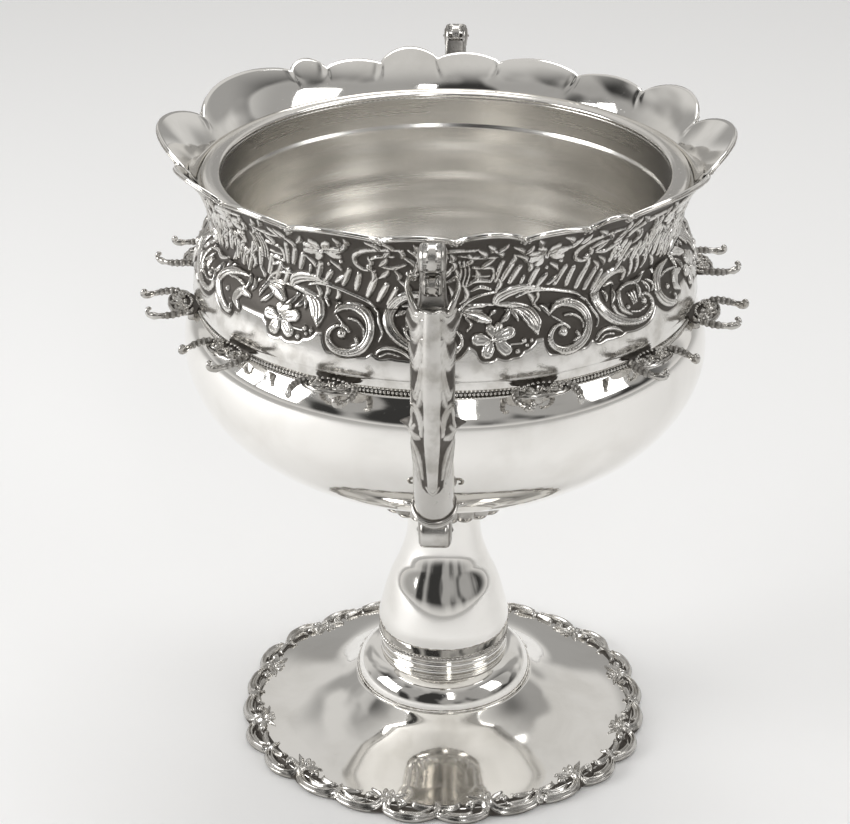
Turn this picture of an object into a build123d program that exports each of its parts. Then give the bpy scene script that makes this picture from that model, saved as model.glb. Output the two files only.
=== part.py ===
"""Footed punch bowl with a lift-out liner, twelve cup hooks and two scroll handles.

Frame: +Z up, origin on the table under the centre of the foot, millimetres.
The two handles stand on the Y axis and the widest hooks lie towards X.
"""
import os
from math import asin, cos, degrees, hypot, radians, sin, sqrt

from build123d import *

os.makedirs("parts", exist_ok=True)

# ---------------------------------------------------------------- driving dimensions
wall = 1.5                 # sheet thickness of the raised and spun shells
liner_wall = 1.2           # sheet thickness of the liner
liner_clearance = 0.3      # air between the resting liner and the seat that carries it

plate_radius = 118.0       # smooth foot plate
plate_lift = 4.0           # underside of the plate's edge above the table
border_reach = 9.5         # how far the cast border stands out past the plate
border_height = 6.8        # top of the cast border
foot_rise = 28.6           # table to the root of the dome
dome_radius = 53.8
dome_rise = 17.4
throat_radius = 38.0       # top of the dome and the stacked mouldings
moulding_height = 10.0
milled_height = 2.4        # knurled wire between moulding and stem
stem_height = 91.6
stem_base_radius = 38.9
stem_top_radius = 21.5
collar_height = 22.8
collar_radius = 45.5
collar_lobes = 24

seat_radius = 46.0         # flat bottom of the bowl
bowl_depth = 83.2          # flat bottom to the belly line
belly_radius = 150.0
shoulder_height = 26.0     # belly line to the bead wire
shoulder_radius = 141.5
bead_height = 2.5
band_height = 41.5         # bead wire to the neck
neck_radius = 131.4
flare_height = 56.0        # neck to the end of the flare
flare_radius = 163.0
rim_border_width = 5.0
rim_border_depth = 1.3
rim_border_overhang = 0.8

liner_neck_clearance = 2.9 # air between the liner and the inside of the neck
lip_flare_clearance = 0.7  # air between the lip's edge and the inside of the flare
lip_height = 3.5
lip_level = 29.5           # underside of the lip above the neck
liner_straight = 16.5      # upright wall below the lip
liner_depth = 150.0        # end of the upright wall to the bottom
liner_lift = 215.0         # travel that clears the rim and the handles

hook_count = 12
hook_first_angle = 21.5    # from the handle's plane to its nearest hook
hook_thickness = 3.0
hook_level = 1.0           # underside of the hook above the bead wire
hook_half_width = 17.5
hook_reach = 33.0          # shoulder to the hook's tips
hook_wire_radius = 1.7
hook_ball_radius = 2.6
hook_tip_half_gap = 13.4

handle_tube_radius = 10.8
handle_reach = 27.0        # tube centre outside the belly at the hooks' level
handle_leaf_depth = 1.6
roll_radius = 7.5
roll_width = 15.0
roll_above_rim = 2.5       # top of the upper roll above the end of the flare
small_roll_radius = 5.5
small_roll_width = 11.5

rod_radius = 4.0
nut_across_flats = 13.0
nut_height = 6.5
washer_thickness = 2.0

# ---------------------------------------------------------------- levels, bottom to top
dome_top = foot_rise + dome_rise
moulding_top = dome_top + moulding_height
stem_foot = moulding_top + milled_height
stem_top = stem_foot + stem_height
bowl_foot = stem_top + collar_height
belly_level = bowl_foot + bowl_depth
shoulder_level = belly_level + shoulder_height
bead_top = shoulder_level + bead_height
neck_level = bead_top + band_height
flare_top = neck_level + flare_height
lip_foot = neck_level + lip_level
ledge_radius = dome_radius - 5.8
below_belly = bowl_depth / sqrt(1 - (seat_radius / belly_radius) ** 2)   # half-axis of the underside


def bowl_radius(level):
    """Outer radius of the bowl's rounded underside at a level below the belly line."""
    return belly_radius * sqrt(1 - ((belly_level - level) / below_belly) ** 2)


def flare_inside(level):
    """Inner radius of the flare at a level above the neck."""
    climb = (level - neck_level) / flare_height
    place = (1.286 - sqrt(1.286 ** 2 - 4 * 0.286 * climb)) / (2 * 0.286)
    spread = flare_radius - neck_radius
    radius = neck_radius + 3.2 * place + (spread - 3.2) * place ** 2
    slope = (3.2 + 2 * (spread - 3.2) * place) / (flare_height * (1.286 - 2 * 0.286 * place))
    return radius - wall * hypot(1, slope)


def polar(radius, angle, level=0.0):
    """Point at an angle measured from -Y towards +X."""
    return (radius * sin(radians(angle)), -radius * cos(radians(angle)), level)


def inset_points(line, depth, count=9):
    """Points that follow a line of a section at a depth to its left."""
    places = [index / (count - 1) for index in range(count)]
    return [((line @ u).X - depth * (line % u).Y, (line @ u).Y + depth * (line % u).X) for u in places]


def finish(piece, name):
    """Label one finished piece and write its file."""
    piece.part.label = name
    export_step(piece.part, f"parts/{name}.step")


# ---------------------------------------------------------------- foot
# Spun plate: a flat edge that rests in the border, an ogee rise and a flat ledge for the dome.
ledge_under = foot_rise - wall
with BuildPart() as foot_plate:
    with BuildSketch(Plane.XZ):
        with BuildLine():
            top = Spline(
                (plate_radius, plate_lift + wall),
                (plate_radius - 18, plate_lift + wall + 3.0),
                (plate_radius - 38, plate_lift + wall + 8.5),
                (dome_radius + 11.2, foot_rise - 7.6),
                (dome_radius, foot_rise),
            )
            Polyline(top @ 1, (ledge_radius, foot_rise), (ledge_radius, ledge_under),
                     (dome_radius - 0.6, ledge_under))
            under = Spline(
                (dome_radius - 0.6, ledge_under),
                (dome_radius + 10.2, foot_rise - 9.0),
                (plate_radius - 38, plate_lift + 8.5 - 0.1),
                (plate_radius - 18, plate_lift + 3.0),
                (plate_radius - 7, plate_lift),
            )
            Polyline(under @ 1, (plate_radius, plate_lift), top @ 0)
        make_face()
    revolve(axis=Axis.Z)
finish(foot_plate, "foot_plate")

# Cast border: a ring rebated for the plate, its outline six repeats of four scroll lobes.
border_radius = plate_radius + border_reach
lobe_ends = (0, 15, 30, 45)
lobe_crowns = ((7.5, 0.0), (22.5, 2.5), (37.5, 2.5), (52.5, 0.0))   # angle, and how far inside the reach
crease_depth = 6.0
with BuildPart() as foot_border:
    with BuildSketch(Plane.XZ):
        with BuildLine():
            Polyline(
                (plate_radius - 9, 0), (border_radius, 0), (border_radius, border_height * 0.45),
                (border_radius - 4, border_height), (plate_radius, border_height),
                (plate_radius, plate_lift), (plate_radius - 6.5, plate_lift), (plate_radius - 9, 0),
            )
        make_face()
    revolve(axis=Axis.Z)
    with BuildSketch(Plane.XY):
        with BuildLine():
            for repeat in range(6):
                for start, (crown, inside) in zip(lobe_ends, lobe_crowns):
                    turn = 60 * repeat
                    ThreePointArc(
                        polar(border_radius - crease_depth, turn + start)[:2],
                        polar(border_radius - inside, turn + crown)[:2],
                        polar(border_radius - crease_depth, turn + start + 15)[:2],
                    )
        make_face()
    extrude(amount=border_height + 1, mode=Mode.INTERSECT)
finish(foot_border, "foot_border")

# Raised dome: a quarter ellipse with a flat top for the mouldings.
with BuildPart() as foot_dome:
    with BuildSketch(Plane.XZ):
        with BuildLine():
            skin = EllipticalCenterArc((throat_radius, foot_rise), dome_radius - throat_radius, dome_rise,
                                       start_angle=0, arc_size=90)
            lining = EllipticalCenterArc((throat_radius, foot_rise), dome_radius - throat_radius - wall,
                                         dome_rise - wall, start_angle=0, arc_size=90)
            Line(lining @ 0, skin @ 0)
            Polyline(skin @ 1, (throat_radius - 5, dome_top), (throat_radius - 5, dome_top - wall), lining @ 1)
        make_face()
    revolve(axis=Axis.Z)
finish(foot_dome, "foot_dome")

# Stacked mouldings: a torus, a fillet, a second torus and a flat collar.
bore_radius = throat_radius - 5
with BuildPart() as base_moulding:
    with BuildSketch(Plane.XZ):
        with BuildLine():
            lower = ThreePointArc((throat_radius - 0.6, dome_top), (throat_radius + 0.9, dome_top + 1.6),
                                  (throat_radius - 0.6, dome_top + 3.2))
            Polyline(lower @ 1, (throat_radius - 1.4, dome_top + 3.2), (throat_radius - 1.4, dome_top + 4.2),
                     (throat_radius - 0.9, dome_top + 4.2))
            upper = ThreePointArc((throat_radius - 0.9, dome_top + 4.2), (throat_radius + 0.6, dome_top + 6.0),
                                  (throat_radius - 0.9, dome_top + 7.8))
            Polyline(upper @ 1, (throat_radius - 0.9, dome_top + 8.4), (throat_radius + 0.4, dome_top + 8.4),
                     (throat_radius + 0.4, moulding_top), (bore_radius, moulding_top),
                     (bore_radius, dome_top), lower @ 0)
        make_face()
    revolve(axis=Axis.Z)
finish(base_moulding, "base_moulding")

# Milled wire that the stem stands on.
with BuildPart() as knurled_wire:
    with BuildSketch(Plane.XZ):
        with BuildLine():
            crown = ThreePointArc((stem_base_radius, moulding_top),
                                  (stem_base_radius + 0.9, moulding_top + milled_height / 2),
                                  (stem_base_radius, stem_foot))
            Polyline(crown @ 1, (bore_radius, stem_foot), (bore_radius, moulding_top), crown @ 0)
        make_face()
    revolve(axis=Axis.Z)
finish(knurled_wire, "knurled_wire")

# Hollow pear stem: full near its base, drawn in to a slender top.
swell = stem_base_radius - stem_top_radius
with BuildPart() as stem:
    with BuildSketch(Plane.XZ):
        with BuildLine():
            skin = Spline(
                (stem_base_radius, stem_foot),
                (stem_top_radius + swell * 1.04, stem_foot + stem_height * 0.081),
                (stem_top_radius + swell * 0.983, stem_foot + stem_height * 0.174),
                (stem_top_radius + swell * 0.690, stem_foot + stem_height * 0.380),
                (stem_top_radius + swell * 0.293, stem_foot + stem_height * 0.561),
                (stem_top_radius + swell * 0.046, stem_foot + stem_height * 0.741),
                (stem_top_radius, stem_top),
                tangents=[(0, 1), (0, 1)],
            )
            lining = Spline(*inset_points(skin, wall), tangents=[(0, 1), (0, 1)])
            Line(skin @ 0, lining @ 0)
            Line(skin @ 1, lining @ 1)
        make_face()
    revolve(axis=Axis.Z)
finish(stem, "stem")

# Gadrooned collar: a flat underside, bulging lobes and a straight edge against the bowl.
under_radius = collar_radius - 6.5
with BuildPart() as stem_collar:
    with BuildSketch(Plane.XZ):
        with BuildLine():
            base = Line((stem_top_radius - wall, stem_top), (under_radius, stem_top))
            bulge = Spline(base @ 1, (collar_radius - 1.0, stem_top + collar_height * 0.35),
                           (collar_radius, stem_top + collar_height * 0.65),
                           (collar_radius - 0.5, bowl_foot), tangents=[(1, 0.25), (0, 1)])
            Polyline(bulge @ 1, (collar_radius - 0.5 - wall, bowl_foot),
                     (collar_radius - 1.0 - wall, stem_top + collar_height * 0.4),
                     (under_radius - wall, stem_top + wall), (stem_top_radius - wall, stem_top + wall), base @ 0)
        make_face()
    revolve(axis=Axis.Z)
    with BuildSketch(Plane.XY.offset(stem_top)):
        Circle(collar_radius - 1.2)
        with PolarLocations(collar_radius - 5, collar_lobes):
            Circle(5)
    extrude(amount=collar_height, mode=Mode.INTERSECT)
finish(stem_collar, "stem_collar")

# ---------------------------------------------------------------- body
# Sections of the body's outer skin. Each ends upright where it meets a ring, so the walls stack face to face.
shoulder_points = ((belly_radius, belly_level),
                   (belly_radius - (belly_radius - shoulder_radius) * 0.2, belly_level + shoulder_height * 0.53),
                   (belly_radius - (belly_radius - shoulder_radius) * 0.82, belly_level + shoulder_height * 0.84),
                   (shoulder_radius, shoulder_level))
waist = shoulder_radius - neck_radius
band_points = ((shoulder_radius, bead_top),
               (shoulder_radius + 1.4, bead_top + band_height * 0.11),
               (shoulder_radius + 1.4, bead_top + band_height * 0.29),
               (shoulder_radius - waist * 0.04, bead_top + band_height * 0.55),
               (shoulder_radius - waist * 0.39, bead_top + band_height * 0.81),
               (neck_radius, neck_level))
flare_points = ((neck_radius, neck_level), (neck_radius + 1.6, neck_level + flare_height * 0.643),
                (flare_radius, flare_top))
with BuildLine() as shoulder_build:
    Spline(*shoulder_points, tangents=[(0, 1), (0, 1)])
with BuildLine() as band_build:
    Spline(*band_points, tangents=[(0, 1), (-0.4, 1)])
with BuildLine() as flare_build:
    Bezier(*flare_points)
shoulder_skin, band_skin, flare_skin = (build.edges()[0] for build in (shoulder_build, band_build, flare_build))


def bowl_form(inset):
    """Solid of revolution inside the bowl's outer skin, drawn in by an inset."""
    lift = degrees(asin((bowl_depth - inset) / (below_belly - inset)))
    with BuildPart() as form:
        with BuildSketch(Plane.XZ):
            with BuildLine():
                under = EllipticalCenterArc((0, belly_level), belly_radius - inset, below_belly - inset,
                                            start_angle=-lift, arc_size=lift)
                side = Spline(*inset_points(shoulder_skin, inset), tangents=[(0, 1), (0, 1)])
                Polyline(side @ 1, (0, shoulder_level), (0, bowl_foot + inset), under @ 0)
            make_face()
        revolve(axis=Axis.Z)
    return form.part


def band_form(skin, inset):
    """Solid of revolution inside one length of the band's outer skin, drawn in by an inset."""
    with BuildPart() as form:
        with BuildSketch(Plane.XZ):
            with BuildLine():
                side = Spline(*inset_points(skin, inset))
                Polyline(side @ 1, (0, (side @ 1).Y), (0, (side @ 0).Y), side @ 0)
            make_face()
        revolve(axis=Axis.Z)
    return form.part


with BuildPart() as bowl_shell:
    add(bowl_form(0))
    add(bowl_form(wall), mode=Mode.SUBTRACT)
finish(bowl_shell, "bowl_shell")

with BuildPart() as bead_wire:
    with BuildSketch(Plane.XZ):
        with BuildLine():
            crown = ThreePointArc((shoulder_radius, shoulder_level),
                                  (shoulder_radius + 1.1, shoulder_level + bead_height / 2),
                                  (shoulder_radius, bead_top))
            Polyline(crown @ 1, (shoulder_radius - wall, bead_top), (shoulder_radius - wall, shoulder_level),
                     crown @ 0)
        make_face()
    revolve(axis=Axis.Z)
finish(bead_wire, "bead_wire")

# Scalloped rim: half of the plan outline, as lobes between creases; the other half is the same turned round.
rim_creases = ((-73, 147.0), (-50, 148.5), (-31, 148.0), (-10.8, 149.5), (4, 150.5), (17.5, 149.5),
               (31, 150.5), (40, 152.0), (73.5, 147.5), (107, 147.0))
rim_crowns = ((-62, 158.0), (-40, 151.8), (-21, 152.8), (-3, 153.8), (10.5, 157.0), (24, 153.0),
              (35.5, 157.0), (56, 158.0), (90, 160.5))


def rim_plan(growth):
    """Draw the scalloped outline, grown outwards by a few millimetres, inside a BuildLine."""
    for half_turn in (0, 180):
        for crease, crown, after in zip(rim_creases, rim_crowns, rim_creases[1:]):
            ThreePointArc(*(polar(radius + growth, angle + half_turn)[:2] for angle, radius in (crease, crown, after)))


with BuildPart() as band_shell:
    with BuildSketch(Plane.XZ):
        with BuildLine():
            outer_band = Spline(*inset_points(band_skin, 0))
            outer_flare = Spline(*inset_points(flare_skin, 0))
            inner_band = Spline(*inset_points(band_skin, wall))
            inner_flare = Spline(*inset_points(flare_skin, wall))
            Line(outer_band @ 0, inner_band @ 0)
            Line(inner_band @ 1, inner_flare @ 0)
            Line(outer_flare @ 1, inner_flare @ 1)
        make_face()
    revolve(axis=Axis.Z)
    with BuildSketch(Plane.XY.offset(bead_top)):
        with BuildLine():
            rim_plan(0)
        make_face()
    extrude(amount=flare_top - bead_top + 5, mode=Mode.INTERSECT)
finish(band_shell, "band_shell")

# Applied border on the outside of the flare's edge.
with BuildPart() as rim_border:
    with BuildSketch(Plane.XZ):
        with BuildLine():
            inner = Spline(*inset_points(flare_skin, 0))
            outer = Spline(*inset_points(flare_skin, -rim_border_depth))
            Line(outer @ 0, inner @ 0)
            Line(outer @ 1, inner @ 1)
        make_face()
    revolve(axis=Axis.Z)
    with BuildSketch(Plane.XY.offset(neck_level)):
        with BuildLine():
            rim_plan(rim_border_overhang)
        make_face()
    extrude(amount=flare_height + 5, mode=Mode.INTERSECT)
    with BuildSketch(Plane.XY.offset(neck_level)):
        with BuildLine():
            rim_plan(-rim_border_width)
        make_face()
    extrude(amount=flare_height + 5, mode=Mode.SUBTRACT)
finish(rim_border, "rim_border")

# The body's full outer form, solid inside; everything fixed to the body is trimmed by it.
with BuildPart() as body_form:
    add(bowl_form(0))
    add(bead_wire.part)
    with BuildSketch(Plane.XY.offset(shoulder_level)):
        Circle(shoulder_radius - wall / 2)
    extrude(amount=bead_height)
    add(band_form(band_skin, 0))
    add(band_form(flare_skin, 0))

# ---------------------------------------------------------------- liner
# Seat: a ring inside the flare that carries the liner's lip.
liner_outer = neck_radius - wall - liner_neck_clearance
lip_inner_radius = liner_outer - liner_wall
lip_outer_radius = flare_inside(lip_foot) - lip_flare_clearance
seat_top = lip_foot - liner_clearance
with BuildPart() as liner_seat:
    with BuildSketch(Plane.XZ):
        with Locations((liner_outer + 1.5, seat_top)):
            Rectangle(lip_outer_radius - liner_outer, 6, align=(Align.MIN, Align.MAX))
    revolve(axis=Axis.Z)
    add(band_form(flare_skin, wall), mode=Mode.INTERSECT)
finish(liner_seat, "liner_seat")

# Liner: an upright wall, a small step and a deep rounded bowl.
straight_foot = lip_foot - liner_straight
liner_bottom = straight_foot - liner_depth
with BuildPart() as liner:
    with BuildSketch(Plane.XZ):
        with BuildLine():
            upright = Polyline((liner_outer - liner_wall, straight_foot), (liner_outer - liner_wall, lip_foot),
                               (liner_outer, lip_foot), (liner_outer, straight_foot),
                               (liner_outer - 0.8, straight_foot - 1.0))
            skin = Spline(
                upright @ 1,
                (liner_outer - 3.3, straight_foot - liner_depth * 0.24),
                (liner_outer - 11.8, straight_foot - liner_depth * 0.50),
                (liner_outer - 28.8, straight_foot - liner_depth * 0.73),
                (liner_outer - 56.0, straight_foot - liner_depth * 0.89),
                (liner_outer - 88.0, straight_foot - liner_depth * 0.975),
                (0, liner_bottom),
                tangents=[(0, -1), (-1, 0)],
            )
            lining = Spline(*inset_points(skin, -liner_wall), tangents=[(0, -1), (-1, 0)])
            Line(skin @ 1, lining @ 1)
            Line(lining @ 0, upright @ 0)
        make_face()
    revolve(axis=Axis.Z)
finish(liner, "liner")

with BuildPart() as liner_lip:
    with BuildSketch(Plane.XZ):
        with BuildLine():
            base = Line((lip_inner_radius, lip_foot), (lip_outer_radius, lip_foot))
            ThreePointArc(base @ 1, ((lip_inner_radius + lip_outer_radius) / 2, lip_foot + lip_height), base @ 0)
        make_face()
    revolve(axis=Axis.Z)
finish(liner_lip, "liner_lip")

# ---------------------------------------------------------------- fastening inside the foot
with BuildPart() as stud_plate:
    with BuildSketch(Plane.XY.offset(bowl_foot - 3)):
        Circle(stem_top_radius - wall - 1.5)
    extrude(amount=3)
    fillet(stud_plate.edges().group_by(Axis.Z)[0], 0.6)
finish(stud_plate, "stud_plate")

washer_top = ledge_under
washer_foot = washer_top - washer_thickness
rod_foot = washer_foot - nut_height - 2.5
with BuildPart() as tie_rod:
    with BuildSketch(Plane.XY.offset(rod_foot)):
        Circle(rod_radius)
    extrude(amount=bowl_foot - 3 - rod_foot)
    chamfer(tie_rod.edges().group_by(Axis.Z)[0], 0.8)
finish(tie_rod, "tie_rod")

with BuildPart() as foot_washer:
    with BuildSketch(Plane.XY.offset(washer_foot)):
        Circle(ledge_radius + 3.5)
        Circle(rod_radius, mode=Mode.SUBTRACT)
    extrude(amount=washer_thickness)
finish(foot_washer, "foot_washer")

with BuildPart() as foot_nut:
    with BuildSketch(Plane.XY.offset(washer_foot - nut_height)):
        RegularPolygon(nut_across_flats / 2, 6, major_radius=False)
        Circle(rod_radius, mode=Mode.SUBTRACT)
    extrude(amount=nut_height)
finish(foot_nut, "foot_nut")

# ---------------------------------------------------------------- cup hooks
# One hook lies along +X: a pierced scroll medallion with two arms that end in upturned balls.
hook_foot = bead_top + hook_level
hook_middle = hook_foot + hook_thickness / 2
medallion_centre = shoulder_radius + 3.0
tip_radius = shoulder_radius + hook_reach
with BuildPart() as hook_form:
    with BuildSketch(Plane.XY.offset(hook_foot)):
        with Locations((medallion_centre, 0)):
            Circle(hook_half_width)
        with Locations((medallion_centre + 7.5, 7), (medallion_centre + 7.5, -7)):
            Circle(3.2, mode=Mode.SUBTRACT)
        with Locations((medallion_centre + 13.0, 0)):
            Circle(1.8, mode=Mode.SUBTRACT)
    extrude(amount=hook_thickness)
    for side in (-1, 1):
        with BuildLine():
            arm = Spline(
                (medallion_centre + 6, side * (hook_half_width - 3), hook_middle),
                (medallion_centre + 16, side * (hook_half_width - 0.8), hook_middle),
                (tip_radius - 3, side * hook_tip_half_gap, hook_middle),
                tangents=[(1, 0.2 * side, 0), (1, -0.9 * side, 0)],
            )
        with BuildSketch(Plane(origin=arm @ 0, z_dir=arm % 0)):
            Circle(hook_wire_radius)
        sweep()
        with Locations((tip_radius - 3, side * hook_tip_half_gap, hook_middle + 0.8)):
            Sphere(hook_ball_radius)
    with BuildSketch(Plane.XY.offset(shoulder_level - 5)):
        with Locations((shoulder_radius + 3.4, 0)):
            Circle(3)
    extrude(amount=hook_foot - shoulder_level + 5)
    add(body_form.part, mode=Mode.SUBTRACT)

# Six hooks on each side are spread evenly between the handles.
hooks_per_side = hook_count // 2
hook_step = (180 - 2 * hook_first_angle) / (hooks_per_side - 1)
hook_angles = [side * (hook_first_angle + hook_step * place) for side in (1, -1) for place in range(hooks_per_side)]
for number, angle in enumerate(hook_angles, start=1):
    with BuildPart() as cup_hook:
        add(hook_form.part.rotate(Axis.Z, angle - 90))
    finish(cup_hook, f"cup_hook_{number:02d}")

# ---------------------------------------------------------------- handles
# Drawn once along +X, then turned to the front and to the rear.
handle_radius = belly_radius + handle_reach
grip_top = (handle_radius - 1, neck_level + 22)
grip_foot_level = belly_level - 39
grip_foot = (bowl_radius(grip_foot_level) + handle_tube_radius + 0.8, grip_foot_level)
cuff_thickness = 4.0
with BuildPart() as grip_form:
    with BuildLine() as grip_path:
        Spline(
            (grip_top[0], 0, grip_top[1]),
            (handle_radius + 1, 0, neck_level - 6),
            (handle_radius - 2, 0, bead_top + 1.5),
            (handle_radius - 9.0, 0, belly_level + 3),
            (belly_radius + 8.3, 0, belly_level - 19),
            (grip_foot[0], 0, grip_foot[1]),
        )
    with BuildSketch(Plane(origin=grip_path.line @ 0, z_dir=grip_path.line % 0)):
        Circle(handle_tube_radius)
    sweep()
    add(body_form.part, mode=Mode.SUBTRACT)

# Ring at the lower end of the grip.
with BuildPart() as cuff_form:
    with BuildSketch(Plane(origin=grip_path.line @ 1, z_dir=grip_path.line % 1)):
        Circle(handle_tube_radius + 1.8)
    extrude(amount=cuff_thickness)
    fillet(cuff_form.edges(), 1.2)
    add(body_form.part, mode=Mode.SUBTRACT)

# Curl below the ring and the pad that meets the bowl.
curl_level = grip_foot_level - 14.5
curl_centre = (bowl_radius(curl_level) + 20.9, curl_level)
with BuildPart() as foot_form:
    with BuildSketch(Plane.XZ):
        with Locations(curl_centre):
            Circle(10)
        with BuildLine():
            Polyline((curl_centre[0] + 5, curl_centre[1] + 8.6), (curl_centre[0] - 1, curl_centre[1] + 13),
                     (curl_centre[0] - 15, curl_centre[1] + 16), (curl_centre[0] - 30, curl_centre[1] + 6),
                     (curl_centre[0] - 14, curl_centre[1] - 2), (curl_centre[0], curl_centre[1] - 6),
                     (curl_centre[0] + 5, curl_centre[1] + 8.6))
        make_face()
    extrude(amount=9.5, both=True)
    add(body_form.part, mode=Mode.SUBTRACT)
    add(cuff_form.part, mode=Mode.SUBTRACT)
    add(grip_form.part, mode=Mode.SUBTRACT)

# Leaf laid over the outside of the grip: wide at the top, drawn out to a point.
leaf_top = grip_top[1] + 2
leaf_tip = belly_level - 9
leaf_edge = ((0.42, 22), (1.16, 38), (0.83, 50), (1.2, 66), (0.97, 80), (1.2, 88))   # share of the tube, height
with BuildPart() as leaf_form:
    with BuildSketch(Plane(origin=grip_path.line @ 0, z_dir=grip_path.line % 0)):
        Circle(handle_tube_radius + handle_leaf_depth)
        Circle(handle_tube_radius, mode=Mode.SUBTRACT)
    sweep(path=grip_path.line)
    with BuildSketch(Plane.YZ.offset(handle_radius - 12)):
        with BuildLine():
            right = Polyline((0, leaf_tip), *((share * handle_tube_radius, leaf_tip + height)
                                              for share, height in leaf_edge),
                             (leaf_edge[-1][0] * handle_tube_radius, leaf_top), (0, leaf_top))
            mirror(right, about=Plane.YZ)
        make_face()
    extrude(amount=40, mode=Mode.INTERSECT)

# Scrolls at the top: a wide roll above a narrow one, joined by a web that ends on the grip.
roll_centre = (handle_radius + 6, flare_top + roll_above_rim - roll_radius)
small_centre = (handle_radius + 4, roll_centre[1] - 15)
web_reach = sqrt(handle_tube_radius ** 2 - (small_roll_width / 2) ** 2) + 0.6   # its corners bed in the leaf
with BuildPart() as scroll_form:
    with BuildSketch(Plane.XZ):
        with Locations(roll_centre):
            Circle(roll_radius)
    extrude(amount=roll_width / 2, both=True)
    with BuildSketch(Plane.XZ):
        with Locations(small_centre):
            Circle(small_roll_radius)
        with BuildLine():
            Polyline((roll_centre[0] - 6, roll_centre[1]), (roll_centre[0] + 6, roll_centre[1]),
                     (small_centre[0] + 5, small_centre[1]), (grip_top[0] + web_reach, grip_top[1] + 3),
                     (grip_top[0] + web_reach, grip_top[1] - 6), (grip_top[0] - 8.5, grip_top[1] - 6),
                     (grip_top[0] - 8.5, grip_top[1] + 6), (roll_centre[0] - 6, roll_centre[1]))
        make_face()
    extrude(amount=small_roll_width / 2, both=True)
    add(grip_form.part, mode=Mode.SUBTRACT)
    add(leaf_form.part, mode=Mode.SUBTRACT)

# Bracket from the neck to the back of the grip, under the flare.
with BuildPart() as bracket_form:
    with BuildSketch(Plane.XZ):
        with BuildLine():
            Polyline((neck_radius - 6, neck_level + 5), (handle_radius - 6, neck_level + 8),
                     (handle_radius - 6, neck_level + 20), (neck_radius - 6, neck_level + 17),
                     (neck_radius - 6, neck_level + 5))
        make_face()
    extrude(amount=5, both=True)
    add(body_form.part, mode=Mode.SUBTRACT)
    for neighbour in (grip_form, leaf_form, scroll_form):
        add(neighbour.part, mode=Mode.SUBTRACT)

handle_forms = (("grip", grip_form), ("cuff", cuff_form), ("curl", foot_form), ("leaf", leaf_form),
                ("scroll", scroll_form), ("bracket", bracket_form))
for place, turn in (("front", -90), ("rear", 90)):
    for piece_name, form in handle_forms:
        with BuildPart() as handle_piece:
            add(form.part.rotate(Axis.Z, turn))
        finish(handle_piece, f"{place}_handle_{piece_name}")
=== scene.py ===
# %% [markdown]
# # A silver punch bowl, surface by surface
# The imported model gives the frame: bodies, sizes and the joint that lifts the liner out. Each visible
# piece is then worked out as a numpy surface in that same frame, in metres, and takes the place of
# the plain solid that the motion tests use.

# %% Load the frame
import bpy
import numpy as np
from math import asin, cos, pi, radians, sin, sqrt
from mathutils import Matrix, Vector


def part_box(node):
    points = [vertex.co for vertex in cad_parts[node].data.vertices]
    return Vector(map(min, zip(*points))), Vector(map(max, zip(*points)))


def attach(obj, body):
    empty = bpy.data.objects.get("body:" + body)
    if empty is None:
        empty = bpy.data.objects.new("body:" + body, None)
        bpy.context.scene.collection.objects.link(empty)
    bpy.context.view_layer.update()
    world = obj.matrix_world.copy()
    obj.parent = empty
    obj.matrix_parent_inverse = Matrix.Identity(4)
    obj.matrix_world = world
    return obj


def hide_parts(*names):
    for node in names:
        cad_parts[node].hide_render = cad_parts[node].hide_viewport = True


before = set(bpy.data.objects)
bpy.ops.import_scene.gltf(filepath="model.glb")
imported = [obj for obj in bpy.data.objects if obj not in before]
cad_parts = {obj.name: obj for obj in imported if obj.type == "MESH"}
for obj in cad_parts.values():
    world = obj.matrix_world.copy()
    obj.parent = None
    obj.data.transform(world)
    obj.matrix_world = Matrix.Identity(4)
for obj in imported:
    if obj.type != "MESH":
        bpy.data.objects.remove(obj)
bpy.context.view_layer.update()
MM = 0.001

# %% [markdown]
# The main levels and radii come from the solids themselves, so the surfaces follow the design.


# %% Sizes read from the frame
def span(node):
    """Lowest level, highest level and outer radius of a node, in millimetres."""
    low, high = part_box(node)
    return low[2] / MM, high[2] / MM, max(-low[0], high[0]) / MM


foot_rise, dome_top, dome_radius = span("foot_dome")
throat_radius = span("base_moulding")[2] - 0.9
moulding_top = span("base_moulding")[1]
stem_foot, stem_top, stem_swell = span("stem")
bowl_foot, shoulder_level, belly_radius = span("bowl_shell")
collar_radius = span("stem_collar")[2]
bead_top = span("bead_wire")[1]
shoulder_radius = span("bead_wire")[2] - 1.1
plate_radius = span("foot_plate")[2]
border_radius = 127.5
lip_foot, lip_top, lip_outer = span("liner_lip")
liner_bottom, _, liner_outer = span("liner")
wall, liner_wall = 1.5, 1.2
seat_radius, neck_radius, flare_radius = 46.0, 131.4, 163.0
neck_level, flare_top = bead_top + 41.5, bead_top + 97.5
belly_level = shoulder_level - 26.0
print("belly", round(belly_radius, 1), "neck level", round(neck_level, 1), "lip", round(lip_outer, 1))

# %% [markdown]
# ## Turning arrays into meshes
# A surface is a grid of points. These helpers join the grid into faces, close it where it wraps
# round, and store numbers such as the depth of a recess on its vertices for the finishes to read.


# %% Mesh helpers
def grid_faces(rows, columns, wrap_rows=False, wrap_columns=False):
    """Quads of a grid whose points run row by row; wrapping joins the last row or column to the first."""
    r = np.arange(rows if wrap_rows else rows - 1)
    c = np.arange(columns if wrap_columns else columns - 1)
    r, c = (a.ravel() for a in np.meshgrid(r, c, indexing="ij"))
    r2, c2 = (r + 1) % rows, (c + 1) % columns
    return np.stack([r * columns + c, r * columns + c2, r2 * columns + c2, r2 * columns + c], axis=1)


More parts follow.
